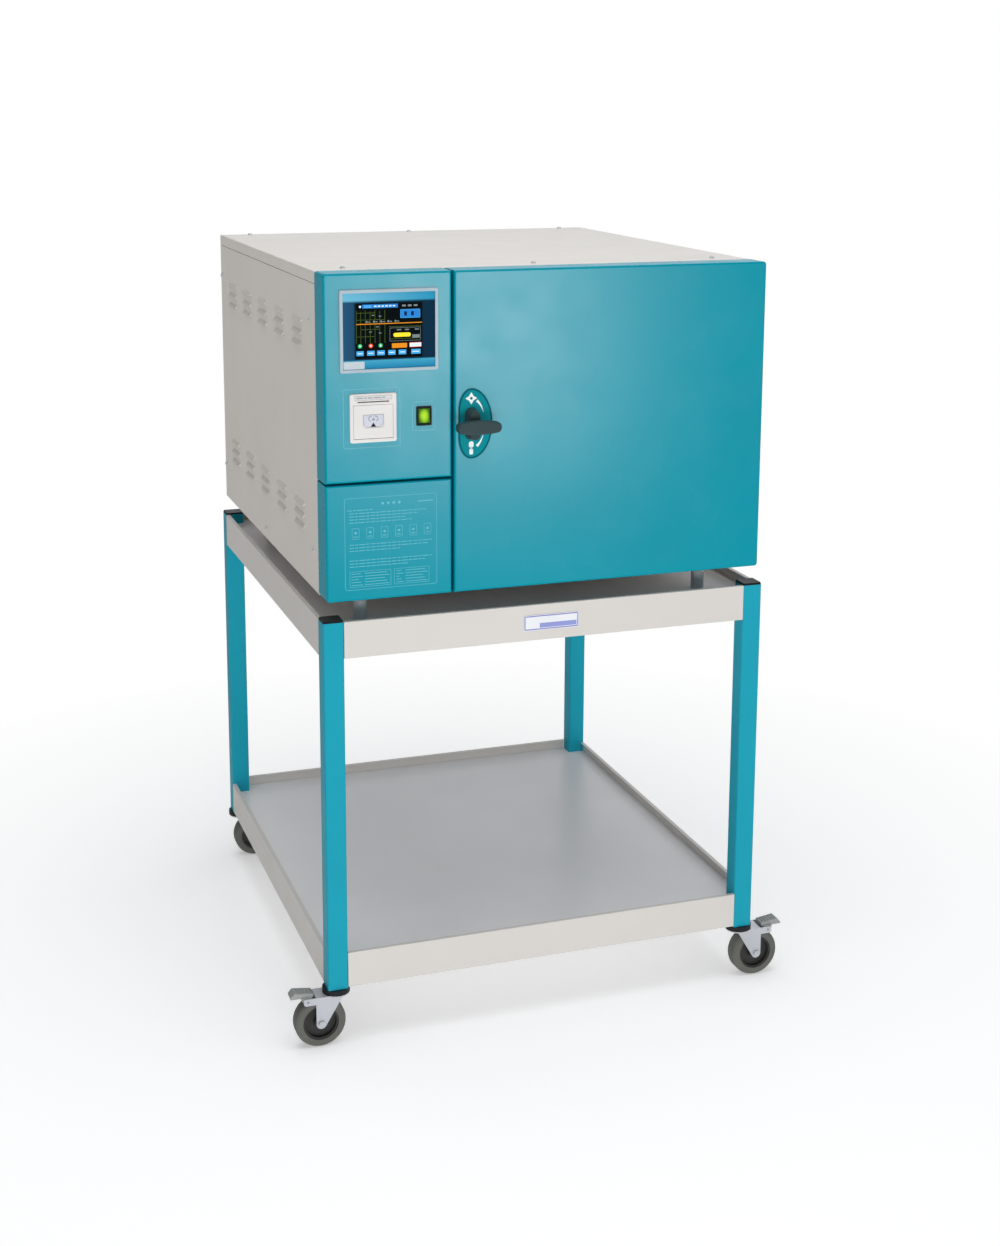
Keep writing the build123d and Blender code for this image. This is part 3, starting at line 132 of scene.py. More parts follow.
class Surface:
    """One principled material and the small node steps that its looks need."""

    def __init__(self, name, colour, roughness, metallic=0.0):
        self.made = bpy.data.materials.new(name)
        self.made.use_nodes = True
        self.tree = self.made.node_tree
        self.tree.nodes.clear()
        output = self.tree.nodes.new("ShaderNodeOutputMaterial")
        self.shader = self.tree.nodes.new("ShaderNodeBsdfPrincipled")
        self.link(self.shader.outputs["BSDF"], output.inputs["Surface"])
        self.shader.inputs["Base Color"].default_value = colour
        self.shader.inputs["Roughness"].default_value = roughness
        self.shader.inputs["Metallic"].default_value = metallic
        self.colour = colour
        self.normal = None

    def link(self, source, target):
        self.tree.links.new(source, target)

    def noise(self, scale, detail=2.0, stretch=(1.0, 1.0, 1.0)):
        """Noise in the row frame; a stretch below 1 draws it out along that axis."""
        place = self.tree.nodes.new("ShaderNodeTexCoord")
        mapping = self.tree.nodes.new("ShaderNodeMapping")
        mapping.inputs["Scale"].default_value = stretch
        self.link(place.outputs["Object"], mapping.inputs["Vector"])
        texture = self.tree.nodes.new("ShaderNodeTexNoise")
        texture.inputs["Scale"].default_value = scale
        texture.inputs["Detail"].default_value = detail
        self.link(mapping.outputs["Vector"], texture.inputs["Vector"])
        return texture.outputs["Fac"]

    def remap(self, value, low, high, start=0.3, end=0.7):
        return map_range(self.tree, value, (low, high), (start, end))

    def along(self, axis):
        """One coordinate of the row frame, in metres."""
        place = self.tree.nodes.new("ShaderNodeTexCoord")
        split = self.tree.nodes.new("ShaderNodeSeparateXYZ")
        self.link(place.outputs["Object"], split.inputs["Vector"])
        return split.outputs[axis]

    def distance(self, centre, reach):
        """Distance from a point of the row frame, as a share of the reach along each axis."""
        place = self.tree.nodes.new("ShaderNodeTexCoord")
        offset = self.tree.nodes.new("ShaderNodeVectorMath")
        offset.operation = "SUBTRACT"
        offset.inputs[1].default_value = centre
        share = self.tree.nodes.new("ShaderNodeVectorMath")
        share.operation = "DIVIDE"
        share.inputs[1].default_value = reach
        length = self.tree.nodes.new("ShaderNodeVectorMath")
        length.operation = "LENGTH"
        self.link(place.outputs["Object"], offset.inputs[0])
        self.link(offset.outputs["Vector"], share.inputs[0])
        self.link(share.outputs["Vector"], length.inputs[0])
        return length.outputs["Value"]

    def mix(self, factor, first, second):
        """Blend of two colours or colour outputs."""
        node = self.tree.nodes.new("ShaderNodeMix")
        node.data_type = "RGBA"
        self.link(factor, node.inputs["Factor"])
        for socket, value in (("A", first), ("B", second)):
            target = [s for s in node.inputs if s.name == socket and s.type == "RGBA"][0]
            if isinstance(value, tuple):
                target.default_value = value
            else:
                self.link(value, target)
        return [s for s in node.outputs if s.type == "RGBA"][0]

    def tint(self, output):
        self.link(output, self.shader.inputs["Base Color"])

    def mottle(self, scale, spread):
        """Slow lightening and darkening of the colour, as a real coat has."""
        dark = tuple(c * (1 - spread) for c in self.colour[:3]) + (1.0,)
        light = tuple(min(1.0, c * (1 + spread)) for c in self.colour[:3]) + (1.0,)
        self.tint(self.mix(self.remap(self.noise(scale, 3.0), 0.0, 1.0), dark, light))

    def rough(self, scale, low, high, stretch=(1.0, 1.0, 1.0)):
        value = self.remap(self.noise(scale, 3.0, stretch), low, high)
        self.link(value, self.shader.inputs["Roughness"])

    def bump(self, scale, strength, depth, detail=2.0, stretch=(1.0, 1.0, 1.0)):
        """Fine relief; a second call adds to the first."""
        node = self.tree.nodes.new("ShaderNodeBump")
        node.inputs["Strength"].default_value = strength
        node.inputs["Distance"].default_value = depth
        self.link(self.noise(scale, detail, stretch), node.inputs["Height"])
        if self.normal is not None:
            self.link(self.normal, node.inputs["Normal"])
        self.normal = node.outputs["Normal"]
        self.link(self.normal, self.shader.inputs["Normal"])

    def soft_edges(self, radius):
        """Lets light catch the edges as if they were broken by this radius."""
        node = self.tree.nodes.new("ShaderNodeBevel")
        node.samples = 4
        node.inputs["Radius"].default_value = radius
        self.normal = node.outputs["Normal"]
        self.link(self.normal, self.shader.inputs["Normal"])

    def worn_and_lit_edges(self, radius, colour, amount):
        """A lighter coat along the edges, broken up by noise: partly wear and partly a painted highlight
        where light catches the edges.
        """
        bevel = self.tree.nodes.new("ShaderNodeBevel")
        bevel.samples = 4
        bevel.inputs["Radius"].default_value = radius
        face = self.tree.nodes.new("ShaderNodeNewGeometry")
        turned = self.tree.nodes.new("ShaderNodeVectorMath")
        turned.operation = "DOT_PRODUCT"
        self.link(bevel.outputs["Normal"], turned.inputs[0])
        self.link(face.outputs["Normal"], turned.inputs[1])
        edge = self.remap(turned.outputs["Value"], 1.0, 0.0, 0.75, 0.99)
        patches = self.remap(self.noise(60.0, 4.0), 0.0, amount, 0.35, 0.65)
        base = self.shader.inputs["Base Color"]
        below = base.links[0].from_socket if base.links else self.colour
        self.tint(self.mix(product(self.tree, edge, patches), below, colour))

    def set(self, **values):
        """Plain numbers and colours on the shader's own sockets."""
        for name, value in values.items():
            socket = {"specular_ior_level": "Specular IOR Level"}.get(name, name.replace("_", " ").title())
            self.shader.inputs[socket].default_value = value


# Coats, metals and plastics


def coat(name, colour, low, high, edge, spread=0.035):
    """Powder coat: faint orange peel, slow mottling, lighter edges that are partly wear and partly painted
    highlight.
    """
    made = Surface(name, colour, low)
    made.mottle(5.0, spread)
    made.rough(14.0, low, high)
    made.soft_edges(0.0008)
    made.bump(700.0, 0.10, 0.0002)
    # Lighter edges: painted highlight along with wear.
    made.worn_and_lit_edges(0.0012, edge, 0.45)
    return made


def brushed(name, colour, low, high, stretch, depth=0.00012):
    """Sheet or turned metal with fine lines drawn out along one axis."""
    made = Surface(name, colour, low, 1.0)
    made.mottle(9.0, 0.06)
    made.rough(120.0, low, high, stretch)
    made.soft_edges(0.0005)
    made.bump(500.0, 0.16, depth, 3.0, stretch)
    return made


def moulded(name, colour, low, high, grain=1400.0, strength=0.12, spread=0.05):
    """Moulded plastic or rubber with a fine spark-eroded grain."""
    made = Surface(name, colour, low)
    made.mottle(18.0, spread)
    made.rough(45.0, low, high)
    made.soft_edges(0.0006)
    made.bump(grain, strength, 0.00015)
    return made


def teal_paint():
    made = coat("teal_paint", shade(0, 144, 163), 0.23, 0.29, shade(60, 180, 196), 0.02)
    made.set(specular_ior_level=0.045)
    return made.made


def cart_teal():
    made = coat("cart_teal", shade(32, 157, 179), 0.30, 0.40, shade(110, 196, 210))
    made.set(specular_ior_level=0.045)
    return made.made


def case_paint():
    made = coat("case_paint", shade(219, 213, 206), 0.40, 0.50, shade(232, 229, 224), 0.015)
    made.set(specular_ior_level=0.35)
    return made.made


def rail_paint():
    made = coat("rail_paint", shade(212, 208, 203), 0.38, 0.48, shade(218, 215, 210), 0.02)
    made.set(specular_ior_level=0.35)
    return made.made


def tray_grey():
    made = coat("tray_grey", shade(229, 228, 229), 0.28, 0.36, shade(236, 237, 239), 0.02)
    return made.made


def stainless():
    made = brushed("stainless", shade(206, 208, 210), 0.30, 0.38, (1.0, 0.05, 1.0), 0.00003)
    made.set(metallic=0.6)
    return made.made


def insulation():
    return moulded("insulation", shade(190, 186, 172), 0.80, 0.95, 220.0, 0.6, 0.12).made


def pump_iron():
    return moulded("pump_iron", shade(58, 66, 76), 0.45, 0.60, 420.0, 0.3, 0.10).made


def zinc():
    made = brushed("zinc", shade(206, 208, 214), 0.36, 0.50, (1.0, 1.0, 1.0), 0.00008)
    made.set(metallic=0.5)
    return made.made


def steel():
    made = brushed("steel", shade(205, 208, 212), 0.28, 0.42, (1.0, 1.0, 0.08))
    made.set(metallic=0.25)
    return made.made


def black_plastic():
    made = moulded("black_plastic", shade(30, 33, 36), 0.40, 0.52)
    made.set(specular_ior_level=0.25)
    return made.made


def pedal_grey():
    return moulded("pedal_grey", shade(152, 154, 152), 0.42, 0.56, 900.0, 0.18).made


def tyre_grey():
    made = moulded("tyre_grey", shade(96, 96, 90), 0.58, 0.74, 1100.0, 0.22, 0.10)
    # Lighter edges: painted highlight along with wear.
    made.worn_and_lit_edges(0.003, shade(112, 111, 104), 0.5)
    return made.made


def wheel_core():
    return moulded("wheel_core", shade(50, 50, 48), 0.46, 0.60, 900.0, 0.16).made


def bezel_silver():
    made = moulded("bezel_silver", shade(172, 190, 198), 0.40, 0.50, 1600.0, 0.10, 0.03)
    made.set(specular_ior_level=0.12)
    return made.made


def screen():
    """Front glass: dark blue, with pale bands above and below the display; a painted sheen lightens the glass
    and its top band towards the left.
    """
    made = Surface("screen", shade(20, 58, 84), 0.08)
    side = made.along("X")
    height = made.along("Z")
    # Painted sheen: the glass and its top band grow lighter towards the left.
    sheen_fade = made.remap(side, 0.0, 1.0, GLASS_LEFT, GLASS_SHEEN_END)
    sheen_across = made.remap(side, 0.0, 1.0, GLASS_LEFT, GLASS_RIGHT)
    dark = made.mix(sheen_fade, shade(38, 84, 118), shade(16, 46, 68))
    head = made.mix(sheen_across, shade(112, 186, 214), shade(42, 146, 186))
    foot = made.mix(made.remap(height, 0.0, 1.0, *FOOT_FADE), shade(28, 124, 168), shade(70, 164, 196))
    headed = made.mix(made.remap(height, 0.0, 1.0, *HEAD_BAND), dark, head)
    made.tint(made.mix(made.remap(height, 1.0, 0.0, *FOOT_BAND), headed, foot))
    made.rough(60.0, 0.26, 0.32)
    made.set(specular_ior_level=0.02)
    return made.made


def printer_ivory():
    made = moulded("printer_ivory", shade(224, 222, 219), 0.48, 0.58, 1500.0, 0.12, 0.02)
    made.set(specular_ior_level=0.12)
    return made.made


def paper():
    return moulded("paper", shade(240, 239, 234), 0.80, 0.90, 500.0, 0.2, 0.02).made


def rocker_green():
    """Lit green button, brighter in the middle where its lamp sits."""
    made = moulded("rocker_green", shade(150, 208, 40), 0.25, 0.33, 1200.0, 0.06, 0.03)
    away = made.distance(ROCKER_CENTRE, ROCKER_REACH)
    lit = made.mix(made.remap(away, 0.0, 1.0, 0.0, 0.7), shade(196, 228, 64), shade(132, 190, 36))
    made.tint(made.mix(made.remap(away, 0.0, 1.0, 0.6, 1.0), lit, shade(34, 84, 28)))
    made.set(emission_color=shade(150, 205, 30), emission_strength=0.12, specular_ior_level=0.1)
    return made.made


def silicone():
    return moulded("silicone", shade(206, 202, 194), 0.50, 0.62, 800.0, 0.12).made


def handle_grey():
    made = moulded("handle_grey", shade(58, 74, 76), 0.36, 0.50, 900.0, 0.22)
    # Lighter edges: painted highlight along with wear.
    made.worn_and_lit_edges(0.002, shade(84, 98, 100), 0.4)
    made.set(specular_ior_level=0.1)
    return made.made


def escutcheon_teal():
    made = moulded("escutcheon_teal", shade(16, 138, 148), 0.36, 0.44, 1200.0, 0.08, 0.03)
    made.set(specular_ior_level=0.04)
    return made.made


def plate_white():
    return moulded("plate_white", shade(232, 234, 238), 0.30, 0.40, 1500.0, 0.06, 0.02).made


def brass():
    return brushed("brass", shade(200, 172, 104), 0.28, 0.40, (1.0, 0.1, 1.0)).made


def ink(name, colour, roughness=0.40, glow=0.0):
    """Printed or lit marking, with a slightly uneven film."""
    made = Surface(name, colour, roughness)
    made.mottle(240.0, 0.05)
    made.bump(1800.0, 0.10, 0.00005)
    made.set(specular_ior_level=0.02)
    if glow:
        made.set(emission_color=colour, emission_strength=glow)
    return made.made


SLOT_LOOKS = {
    "teal_paint": teal_paint,
    "cart_teal": cart_teal,
    "case_paint": case_paint,
    "rail_paint": rail_paint,
    "tray_grey": tray_grey,
    "stainless": stainless,
    "insulation": insulation,
    "pump_iron": pump_iron,
    "zinc": zinc,
    "steel": steel,
    "black_plastic": black_plastic,
    "pedal_grey": pedal_grey,
    "tyre_grey": tyre_grey,
    "wheel_core": wheel_core,
    "bezel_silver": bezel_silver,
    "screen": screen,
    "printer_ivory": printer_ivory,
    "paper": paper,
    "rocker_green": rocker_green,
    "silicone": silicone,
    "handle_grey": handle_grey,
    "escutcheon_teal": escutcheon_teal,
    "plate_white": plate_white,
    "brass": brass,
}

looks = {}
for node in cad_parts.values():
    for place in node.material_slots:
        slot_name = place.material.name.split(".")[0]
        if slot_name not in looks:
            looks[slot_name] = SLOT_LOOKS[slot_name]()
        place.material = looks[slot_name]


# Flat outlines, as lists of (x, z) corners in metres


def mm(*points):
    return [(x / 1000, z / 1000) for x, z in points]


def box_outline(left, low, right, high):
    return mm((left, low), (right, low), (right, high), (left, high))


def round_outline(left, low, right, high, radius, steps=6):
    """Rectangle with rounded corners."""
    centres = [
        (right - radius, low + radius, -90),
        (right - radius, high - radius, 0),
        (left + radius, high - radius, 90),
        (left + radius, low + radius, 180),
    ]
    points = []
    for x, z, start in centres:
        for step in range(steps + 1):
            angle = math.radians(start + 90 * step / steps)
            points.append((x + radius * math.cos(angle), z + radius * math.sin(angle)))
    return mm(*points)


def disc_outline(x, z, radius, steps=24):
    turns = [2 * math.pi * step / steps for step in range(steps)]
    return mm(*[(x + radius * math.cos(t), z + radius * math.sin(t)) for t in turns])


def ribbon_outline(points, widths):
    """Closed outline of a stroke that follows points, with a width at each."""
    left, right = [], []
    for index, (x, z) in enumerate(points):
        before = Vector(points[max(index - 1, 0)])
        after = Vector(points[min(index + 1, len(points) - 1)])
        along = (after - before).normalized()
        half = widths[index] / 2
        left.append((x - along.y * half, z + along.x * half))
        right.append((x + along.y * half, z - along.x * half))
    return mm(*(right + left[::-1]))


class Print:
    """Thin slabs of ink on a face that looks towards -Y, gathered into one piece."""

    def __init__(self, name, body, face, slot, thickness=INK):
        self.name = name
        self.body = body
        self.face = face
        self.slot = slot
        self.thickness = thickness
        self.mesh = bmesh.new()
        self.materials = []

    def number_of(self, material):
        if material not in self.materials:
            self.materials.append(material)
        return self.materials.index(material)

    def fill(self, outline, material, level=1):
        """Filled shape; a higher level lies on a lower one."""
        index = self.number_of(material)
        front = self.face - self.thickness * level
        near = [self.mesh.verts.new((x, front, z)) for x, z in outline]
        far = [self.mesh.verts.new((x, self.face, z)) for x, z in outline]
        faces = [self.mesh.faces.new(near)]
        count = len(outline)
        for at in range(count):
            after = (at + 1) % count
            faces.append(self.mesh.faces.new((near[after], near[at], far[at], far[after])))
        for face in faces:
            face.material_index = index

    def line(self, outline, width, material, level=1):
        """Closed line along an outline, with the width drawn inwards."""
        index = self.number_of(material)
        front = self.face - self.thickness * level
        count = len(outline)
        inner = []
        for at in range(count):
            here = Vector(outline[at])
            before = (here - Vector(outline[at - 1])).normalized()
            after = (Vector(outline[(at + 1) % count]) - here).normalized()
            inward = Vector((-before.y - after.y, before.x + after.x))
            inward.normalize()
            lean = max(0.3, abs(inward.dot(Vector((-after.y, after.x)))))
            inner.append(here + inward * (width / 1000 / lean))
        rings = [
            [self.mesh.verts.new((x, self.face, z)) for x, z in outline],
            [self.mesh.verts.new((x, front, z)) for x, z in outline],
            [self.mesh.verts.new((p.x, front, p.y)) for p in inner],
            [self.mesh.verts.new((p.x, self.face, p.y)) for p in inner],
        ]
        for first, second in zip(rings, rings[1:]):
            for at in range(count):
                after = (at + 1) % count
                face = self.mesh.faces.new((first[at], first[after], second[after], second[at]))
                face.material_index = index

    def done(self):
        bmesh.ops.recalc_face_normals(self.mesh, faces=self.mesh.faces)
        data = bpy.data.meshes.new(self.name)
        self.mesh.to_mesh(data)
        self.mesh.free()
        for material in self.materials:
            data.materials.append(material)
        made = bpy.data.objects.new(self.name, data)
        bpy.context.scene.collection.objects.link(made)
        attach(made, self.body)
        return made


# Display of the touch screen


def display():
    black = ink("display_black", shade(10, 16, 18), 0.3)
    navy = ink("display_navy", shade(18, 44, 62), 0.3)
    sky = ink("display_sky", shade(66, 156, 214), 0.2, 0.25)
    deep = ink("display_blue", shade(42, 120, 196), 0.2, 0.25)
    pale = ink("display_pale", shade(206, 226, 240), 0.2, 0.25)
    olive = ink("display_olive", shade(70, 92, 40), 0.2, 0.1)
    amber = ink("display_amber", shade(214, 132, 30), 0.2, 0.25)
    yellow = ink("display_yellow", shade(236, 212, 50), 0.2, 0.25)
    green = ink("display_green", shade(52, 190, 110), 0.2, 0.25)
    red = ink("display_red", shade(236, 92, 54), 0.2, 0.25)
    grey = ink("display_grey", shade(120, 132, 134), 0.2, 0.1)
    silver = ink("display_silver", shade(192, 204, 210), 0.3)
    made = Print("screen_display", "machine", GLASS_FACE, "screen", 0.00006)
    made.fill(round_outline(-384.5, 1335.0, -254.5, 1438.0, 2.0), navy)
    made.fill(box_outline(-382.0, 1336.5, -257.0, 1436.5), black, 2)
    made.fill(round_outline(-405.0, 1317.8, -366.0, 1331.6, 2.0), silver)
    made.fill(box_outline(-369.5, 1427.6, -303.0, 1434.6), deep, 3)
    made.fill(box_outline(-366.0, 1428.6, -352.0, 1433.6), sky, 4)
    for step in range(6):
        left = -347.5 + step * 7.0
        made.fill(box_outline(left, 1430.0, left + 4.6, 1432.2), pale, 4)
    made.fill(disc_outline(-373.5, 1431.0, 2.2, 12), pale, 3)
    for step in range(3):
        left = -295.0 + step * 11.0
        made.fill(box_outline(left, 1429.0, left + 7.0, 1432.4), grey, 3)
    made.fill(round_outline(-298.3, 1408.2, -261.0, 1424.0, 1.2), deep, 3)
    made.line(round_outline(-298.3, 1408.2, -261.0, 1424.0, 1.2), 0.8, sky, 4)
    for left in (-291.0, -278.0):
        made.fill(box_outline(left, 1412.4, left + 5.0, 1420.0), navy, 4)
    pipes = (-381.0, -373.0, -364.5, -355.5, -346.5, -337.5, -328.0)
    for step, left in enumerate(pipes):
        made.fill(box_outline(left, 1364.5, left + 0.9, 1424.0 - 2.0 * (step % 2)), olive, 3)
    for left, low, right in (
        (-381.0, 1419.0, -346.0),
        (-381.0, 1406.5, -328.0),
        (-373.0, 1389.0, -337.0),
        (-381.0, 1376.0, -346.0),
        (-320.0, 1392.5, -258.5),
        (-320.0, 1370.5, -258.5),
    ):
        made.fill(box_outline(left, low, right, low + 0.9), olive, 3)
    made.fill(box_outline(-381.0, 1398.4, -257.8, 1400.0), amber, 4)
    for step in range(5):
        left = -361.5 + step * 13.5
        made.fill(disc_outline(left, 1403.2, 2.0, 10), grey, 4)
        made.fill(box_outline(left + 2.6, 1402.0, left + 7.0, 1403.6), grey, 4)
    ticks = ((-352.0, 1414.0), (-339.0, 1412.0), (-344.0, 1393.0), (-357.0, 1384.0), (-339.0, 1381.5))
    for left, low in ticks:
        made.fill(box_outline(left, low, left + 5.0, low + 1.6), grey, 4)
    made.line(round_outline(-318.5, 1366.5, -260.0, 1391.0, 1.5), 0.6, grey, 3)
    made.fill(round_outline(-311.5, 1374.0, -279.0, 1381.6, 3.4), yellow, 4)
    for left in (-305.0, -290.0, -271.0):
        made.fill(box_outline(left, 1386.0, left + 8.0, 1388.0), grey, 4)
    made.fill(box_outline(-276.0, 1371.5, -262.0, 1377.5), grey, 4)
    made.fill(round_outline(-314.5, 1354.0, -286.0, 1362.6, 0.8), amber, 3)
    made.fill(round_outline(-281.6, 1354.4, -258.6, 1363.0, 0.8), pale, 3)
    made.line(round_outline(-281.6, 1354.4, -258.6, 1363.0, 0.8), 0.8, red, 4)
    for left, colour in ((-374.2, green), (-354.0, red), (-335.8, green)):
        made.fill(disc_outline(left, 1359.6, 3.9, 14), colour, 3)
        made.fill(disc_outline(left, 1359.6, 1.6, 10), pale, 4)
    for left, right in (
        (-381.0, -367.4),
        (-361.2, -347.0),
        (-342.4, -328.0),
        (-321.8, -307.6),
        (-302.0, -287.6),
        (-278.2, -260.4),
    ):
        made.fill(round_outline(left, 1341.8, right, 1350.6, 0.8), sky, 3)
        made.fill(box_outline(left + 2.4, 1345.4, right - 2.4, 1347.0), pale, 4)
    made.done()


# Printed markings on the panels


def panel_outlines():
    pale = ink("panel_ink", shade(128, 190, 202), 0.4)
    made = Print("panel_outlines", "machine", FRONT_FACE, "plate_white")
    made.line(round_outline(-406.0, 1171.5, -298.5, 1281.0, 4.0), 0.8, pale)
    made.line(round_outline(-275.5, 1198.0, -232.0, 1252.5, 4.0), 0.8, pale)
    made.done()


def service_outlines():
    pale = ink("service_ink", shade(108, 186, 200), 0.4)
    made = Print("service_outlines", "machine", FRONT_FACE, "plate_white")
    made.line(round_outline(-405.9, 904.8, -228.6, 1079.0, 5.0), 0.8, pale)
    for step in range(4):
        x = -333.0 + step * 10.6
        made.fill(mm((x - 3.2, 1066.0), (x, 1062.8), (x + 3.2, 1066.0), (x, 1069.2)), pale)
    made.fill(box_outline(-266.0, 1064.6, -236.0, 1066.4), pale)
    rows = (
        (1055.0, -400.0, -352.0),
        (1049.2, -397.0, -250.0),
        (1043.4, -397.0, -262.0),
        (1037.6, -397.0, -290.0),
        (1031.8, -397.0, -276.0),
        (990.0, -397.0, -238.0),
        (984.2, -397.0, -246.0),
        (978.4, -397.0, -300.0),
        (960.0, -397.0, -238.0),
        (954.2, -397.0, -252.0),
        (948.4, -397.0, -284.0),
    )
    for low, left, right in rows:
        at = left
        step = 0
        while at < right - 3:
            length = (9.0, 5.5, 12.0, 7.0)[step % 4]
            made.fill(box_outline(at, low, min(at + length, right), low + 1.3), pale)
            at += length + 1.8
            step += 1
    for step in range(6):
        x = -385.0 + step * 27.6
        made.line(round_outline(x - 7.0, 1001.0, x + 7.0, 1022.0, 3.0), 0.7, pale)
        made.fill(disc_outline(x, 1013.0, 2.4, 12), pale)
        made.fill(box_outline(x - 4.0, 1005.0, x + 4.0, 1006.4), pale)
    made.line(box_outline(-397.0, 910.0, -318.0, 940.0), 0.6, pale)
    made.line(box_outline(-312.0, 910.0, -244.0, 940.0), 0.6, pale)
    for left, right in ((-394.0, -372.0), (-368.0, -322.0), (-308.0, -294.0), (-290.0, -248.0)):
        for step in range(5):
            low = 913.4 + step * 5.4
            made.fill(box_outline(left, low, right - 4.0 * (step % 3), low + 1.1), pale)
    made.done()


def lid_markings():
    """Label recess of the printer lid: a shaded paper path drawing."""
    grey = ink("lid_grey", shade(150, 154, 166), 0.45)
    lilac = ink("lid_lilac", shade(206, 208, 220), 0.45)
    black = ink("lid_black", shade(40, 42, 46), 0.45)
    made = Print("lid_markings", "lid", LID_FACE + 0.001, "printer_ivory")
    x, z = -350.5, 1222.0
    left_side = [(x - 19, z + 11.5), (x - 19, z - 7.5), (x - 12, z - 12)]
    right_side = [(x + 12, z - 12), (x + 19, z - 7.5), (x + 19, z + 11.5)]
    plate = mm(*left_side, *right_side)
    made.fill(plate, lilac)
    made.line(plate, 0.9, grey, 2)
    made.fill(mm((x - 5, z - 11), (x + 5, z - 11), (x, z - 3.5)), black, 3)
    for side in (-1, 1):
        bends = ((5.5, -1), (9, 2.5), (8, 7), (3, 9))
        path = [(x + side * out, z + up) for out, up in bends]
        made.fill(ribbon_outline(path, [1.6] * len(bends)), grey, 3)
    made.fill(disc_outline(x, z + 2.5, 2.4, 14), grey, 3)
    made.done()


def printer_strip():
    """Shaded label strip above the paper slot."""
    grey = ink("strip_grey", shade(158, 160, 164), 0.45)
    pale = ink("strip_pale", shade(214, 214, 214), 0.45)
    made = Print("printer_strip", "machine", LID_FACE, "printer_ivory")
    made.fill(round_outline(-386.0, 1260.4, -315.0, 1268.6, 2.0), pale)
    made.line(round_outline(-386.0, 1260.4, -315.0, 1268.6, 2.0), 0.7, grey, 2)
    at = -382.0
    for length in (12.0, 5.0, 9.0, 14.0, 6.0, 10.0):
        if at + length < -317.0:
            made.fill(box_outline(at, 1263.4, at + length, 1265.6), grey, 2)
        at += length + 2.0
    made.done()


def badge_markings():
    """Handle positions: open above, locked below, with turning arrows."""
    white = ink("badge_white", shade(240, 246, 246), 0.35)
    rim = ink("badge_rim", shade(8, 92, 104), 0.35)
    hole = ink("badge_hole", shade(60, 110, 112), 0.35)
    made = Print("badge_markings", "door", BADGE_FACE, "escutcheon_teal")
    border = []
    for step in range(25):
        angle = math.radians(-90 + 180 * step / 24)
        border.append((BADGE_X + 41.6 * math.cos(angle), BADGE_Z + 66.1 * math.sin(angle)))
    for step in range(1, 13):
        angle = math.radians(90 + 90 * step / 12)
        border.append((BADGE_X + 24.6 * math.cos(angle), BADGE_Z + 25 + 41.1 * math.sin(angle)))
    for step in range(0, 12):
        angle = math.radians(180 + 90 * step / 12)
        border.append((BADGE_X + 24.6 * math.cos(angle), BADGE_Z - 25 + 41.1 * math.sin(angle)))
    made.line(mm(*border), 3.0, rim)
    star_z = 1253.6
    star = []
    for step in range(16):
        angle = 2 * math.pi * step / 16
        reach = (11.4, 7.6, 6.0, 7.6)[step % 4]
        star.append((BADGE_X + reach * math.cos(angle), star_z + reach * math.sin(angle)))
    made.fill(mm(*star), white)
    made.fill(disc_outline(BADGE_X, star_z, 2.6, 16), hole, 2)
    made.fill(round_outline(-165.6, 1147.5, -158.4, 1158.5, 2.6), white)
    made.fill(round_outline(-166.6, 1160.5, -157.4, 1172.5, 4.0), white)
    made.fill(box_outline(-163.2, 1157.0, -160.8, 1162.0), white)
    for sign in (1, -1):
        path, widths = [], []
        for step in range(9):
            angle = math.radians(66 - 40 * step / 8)
            path.append((BADGE_X + 26.5 * math.cos(angle), BADGE_Z + sign * 47.0 * math.sin(angle)))
            widths.append(4.6 * (1 - step / 8) + 0.5)
        made.fill(ribbon_outline(path, widths), white)
    made.done()


def plate_markings():
    """Blue border and band of the bare plate on the cart rail."""
    blue = ink("plate_blue", shade(136, 138, 200), 0.35)
    band = ink("plate_band", shade(146, 154, 210), 0.35)
    made = Print("plate_border", "machine", PLATE_FACE, "plate_white")
    made.line(round_outline(-55.4, 796.9, 55.4, 825.1, 2.4), 2.2, blue)
    made.fill(box_outline(-24.0, 800.4, 51.7, 809.6), band)
    made.done()


def screw_recess_shade():
    """Painted shade of the cross recesses in the dome heads of the cover screws: dark crosses laid on the
    heads.
    """
    dark = ink("recess_shade_ink", shade(58, 60, 64), 0.5)
    heads = [((x, y, TOP_CROWN), (0, 0, 1)) for x, y in TOP_SCREWS]
    heads += [((side * SIDE_CROWN, y, z), (side, 0, 0)) for side in (-1, 1) for y, z in SIDE_SCREWS]
    mesh = bmesh.new()
    for place, outward in heads:
        turn = Vector(outward).to_track_quat("Z", "Y").to_matrix().to_4x4()
        for quarter in (0, 90):
            bar = bmesh.ops.create_cube(mesh, size=1.0)["verts"]
            size = Matrix.Diagonal((*RECESS_SIZE, 1.0))
            spin = Matrix.Rotation(math.radians(quarter + RECESS_TURN), 4, "Z")
            sink = Matrix.Translation((0, 0, -RECESS_SINK))
            bmesh.ops.transform(mesh, matrix=Matrix.Translation(place) @ turn @ sink @ spin @ size, verts=bar)
    data = bpy.data.meshes.new("screw_recess_shade")
    mesh.to_mesh(data)
    mesh.free()
    data.materials.append(dark)
    made = bpy.data.objects.new("screw_recess_shade", data)
    bpy.context.scene.collection.objects.link(made)
    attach(made, "machine")


display()
panel_outlines()
service_outlines()
lid_markings()
printer_strip()
badge_markings()
plate_markings()
screw_recess_shade()


# Floor, light and camera


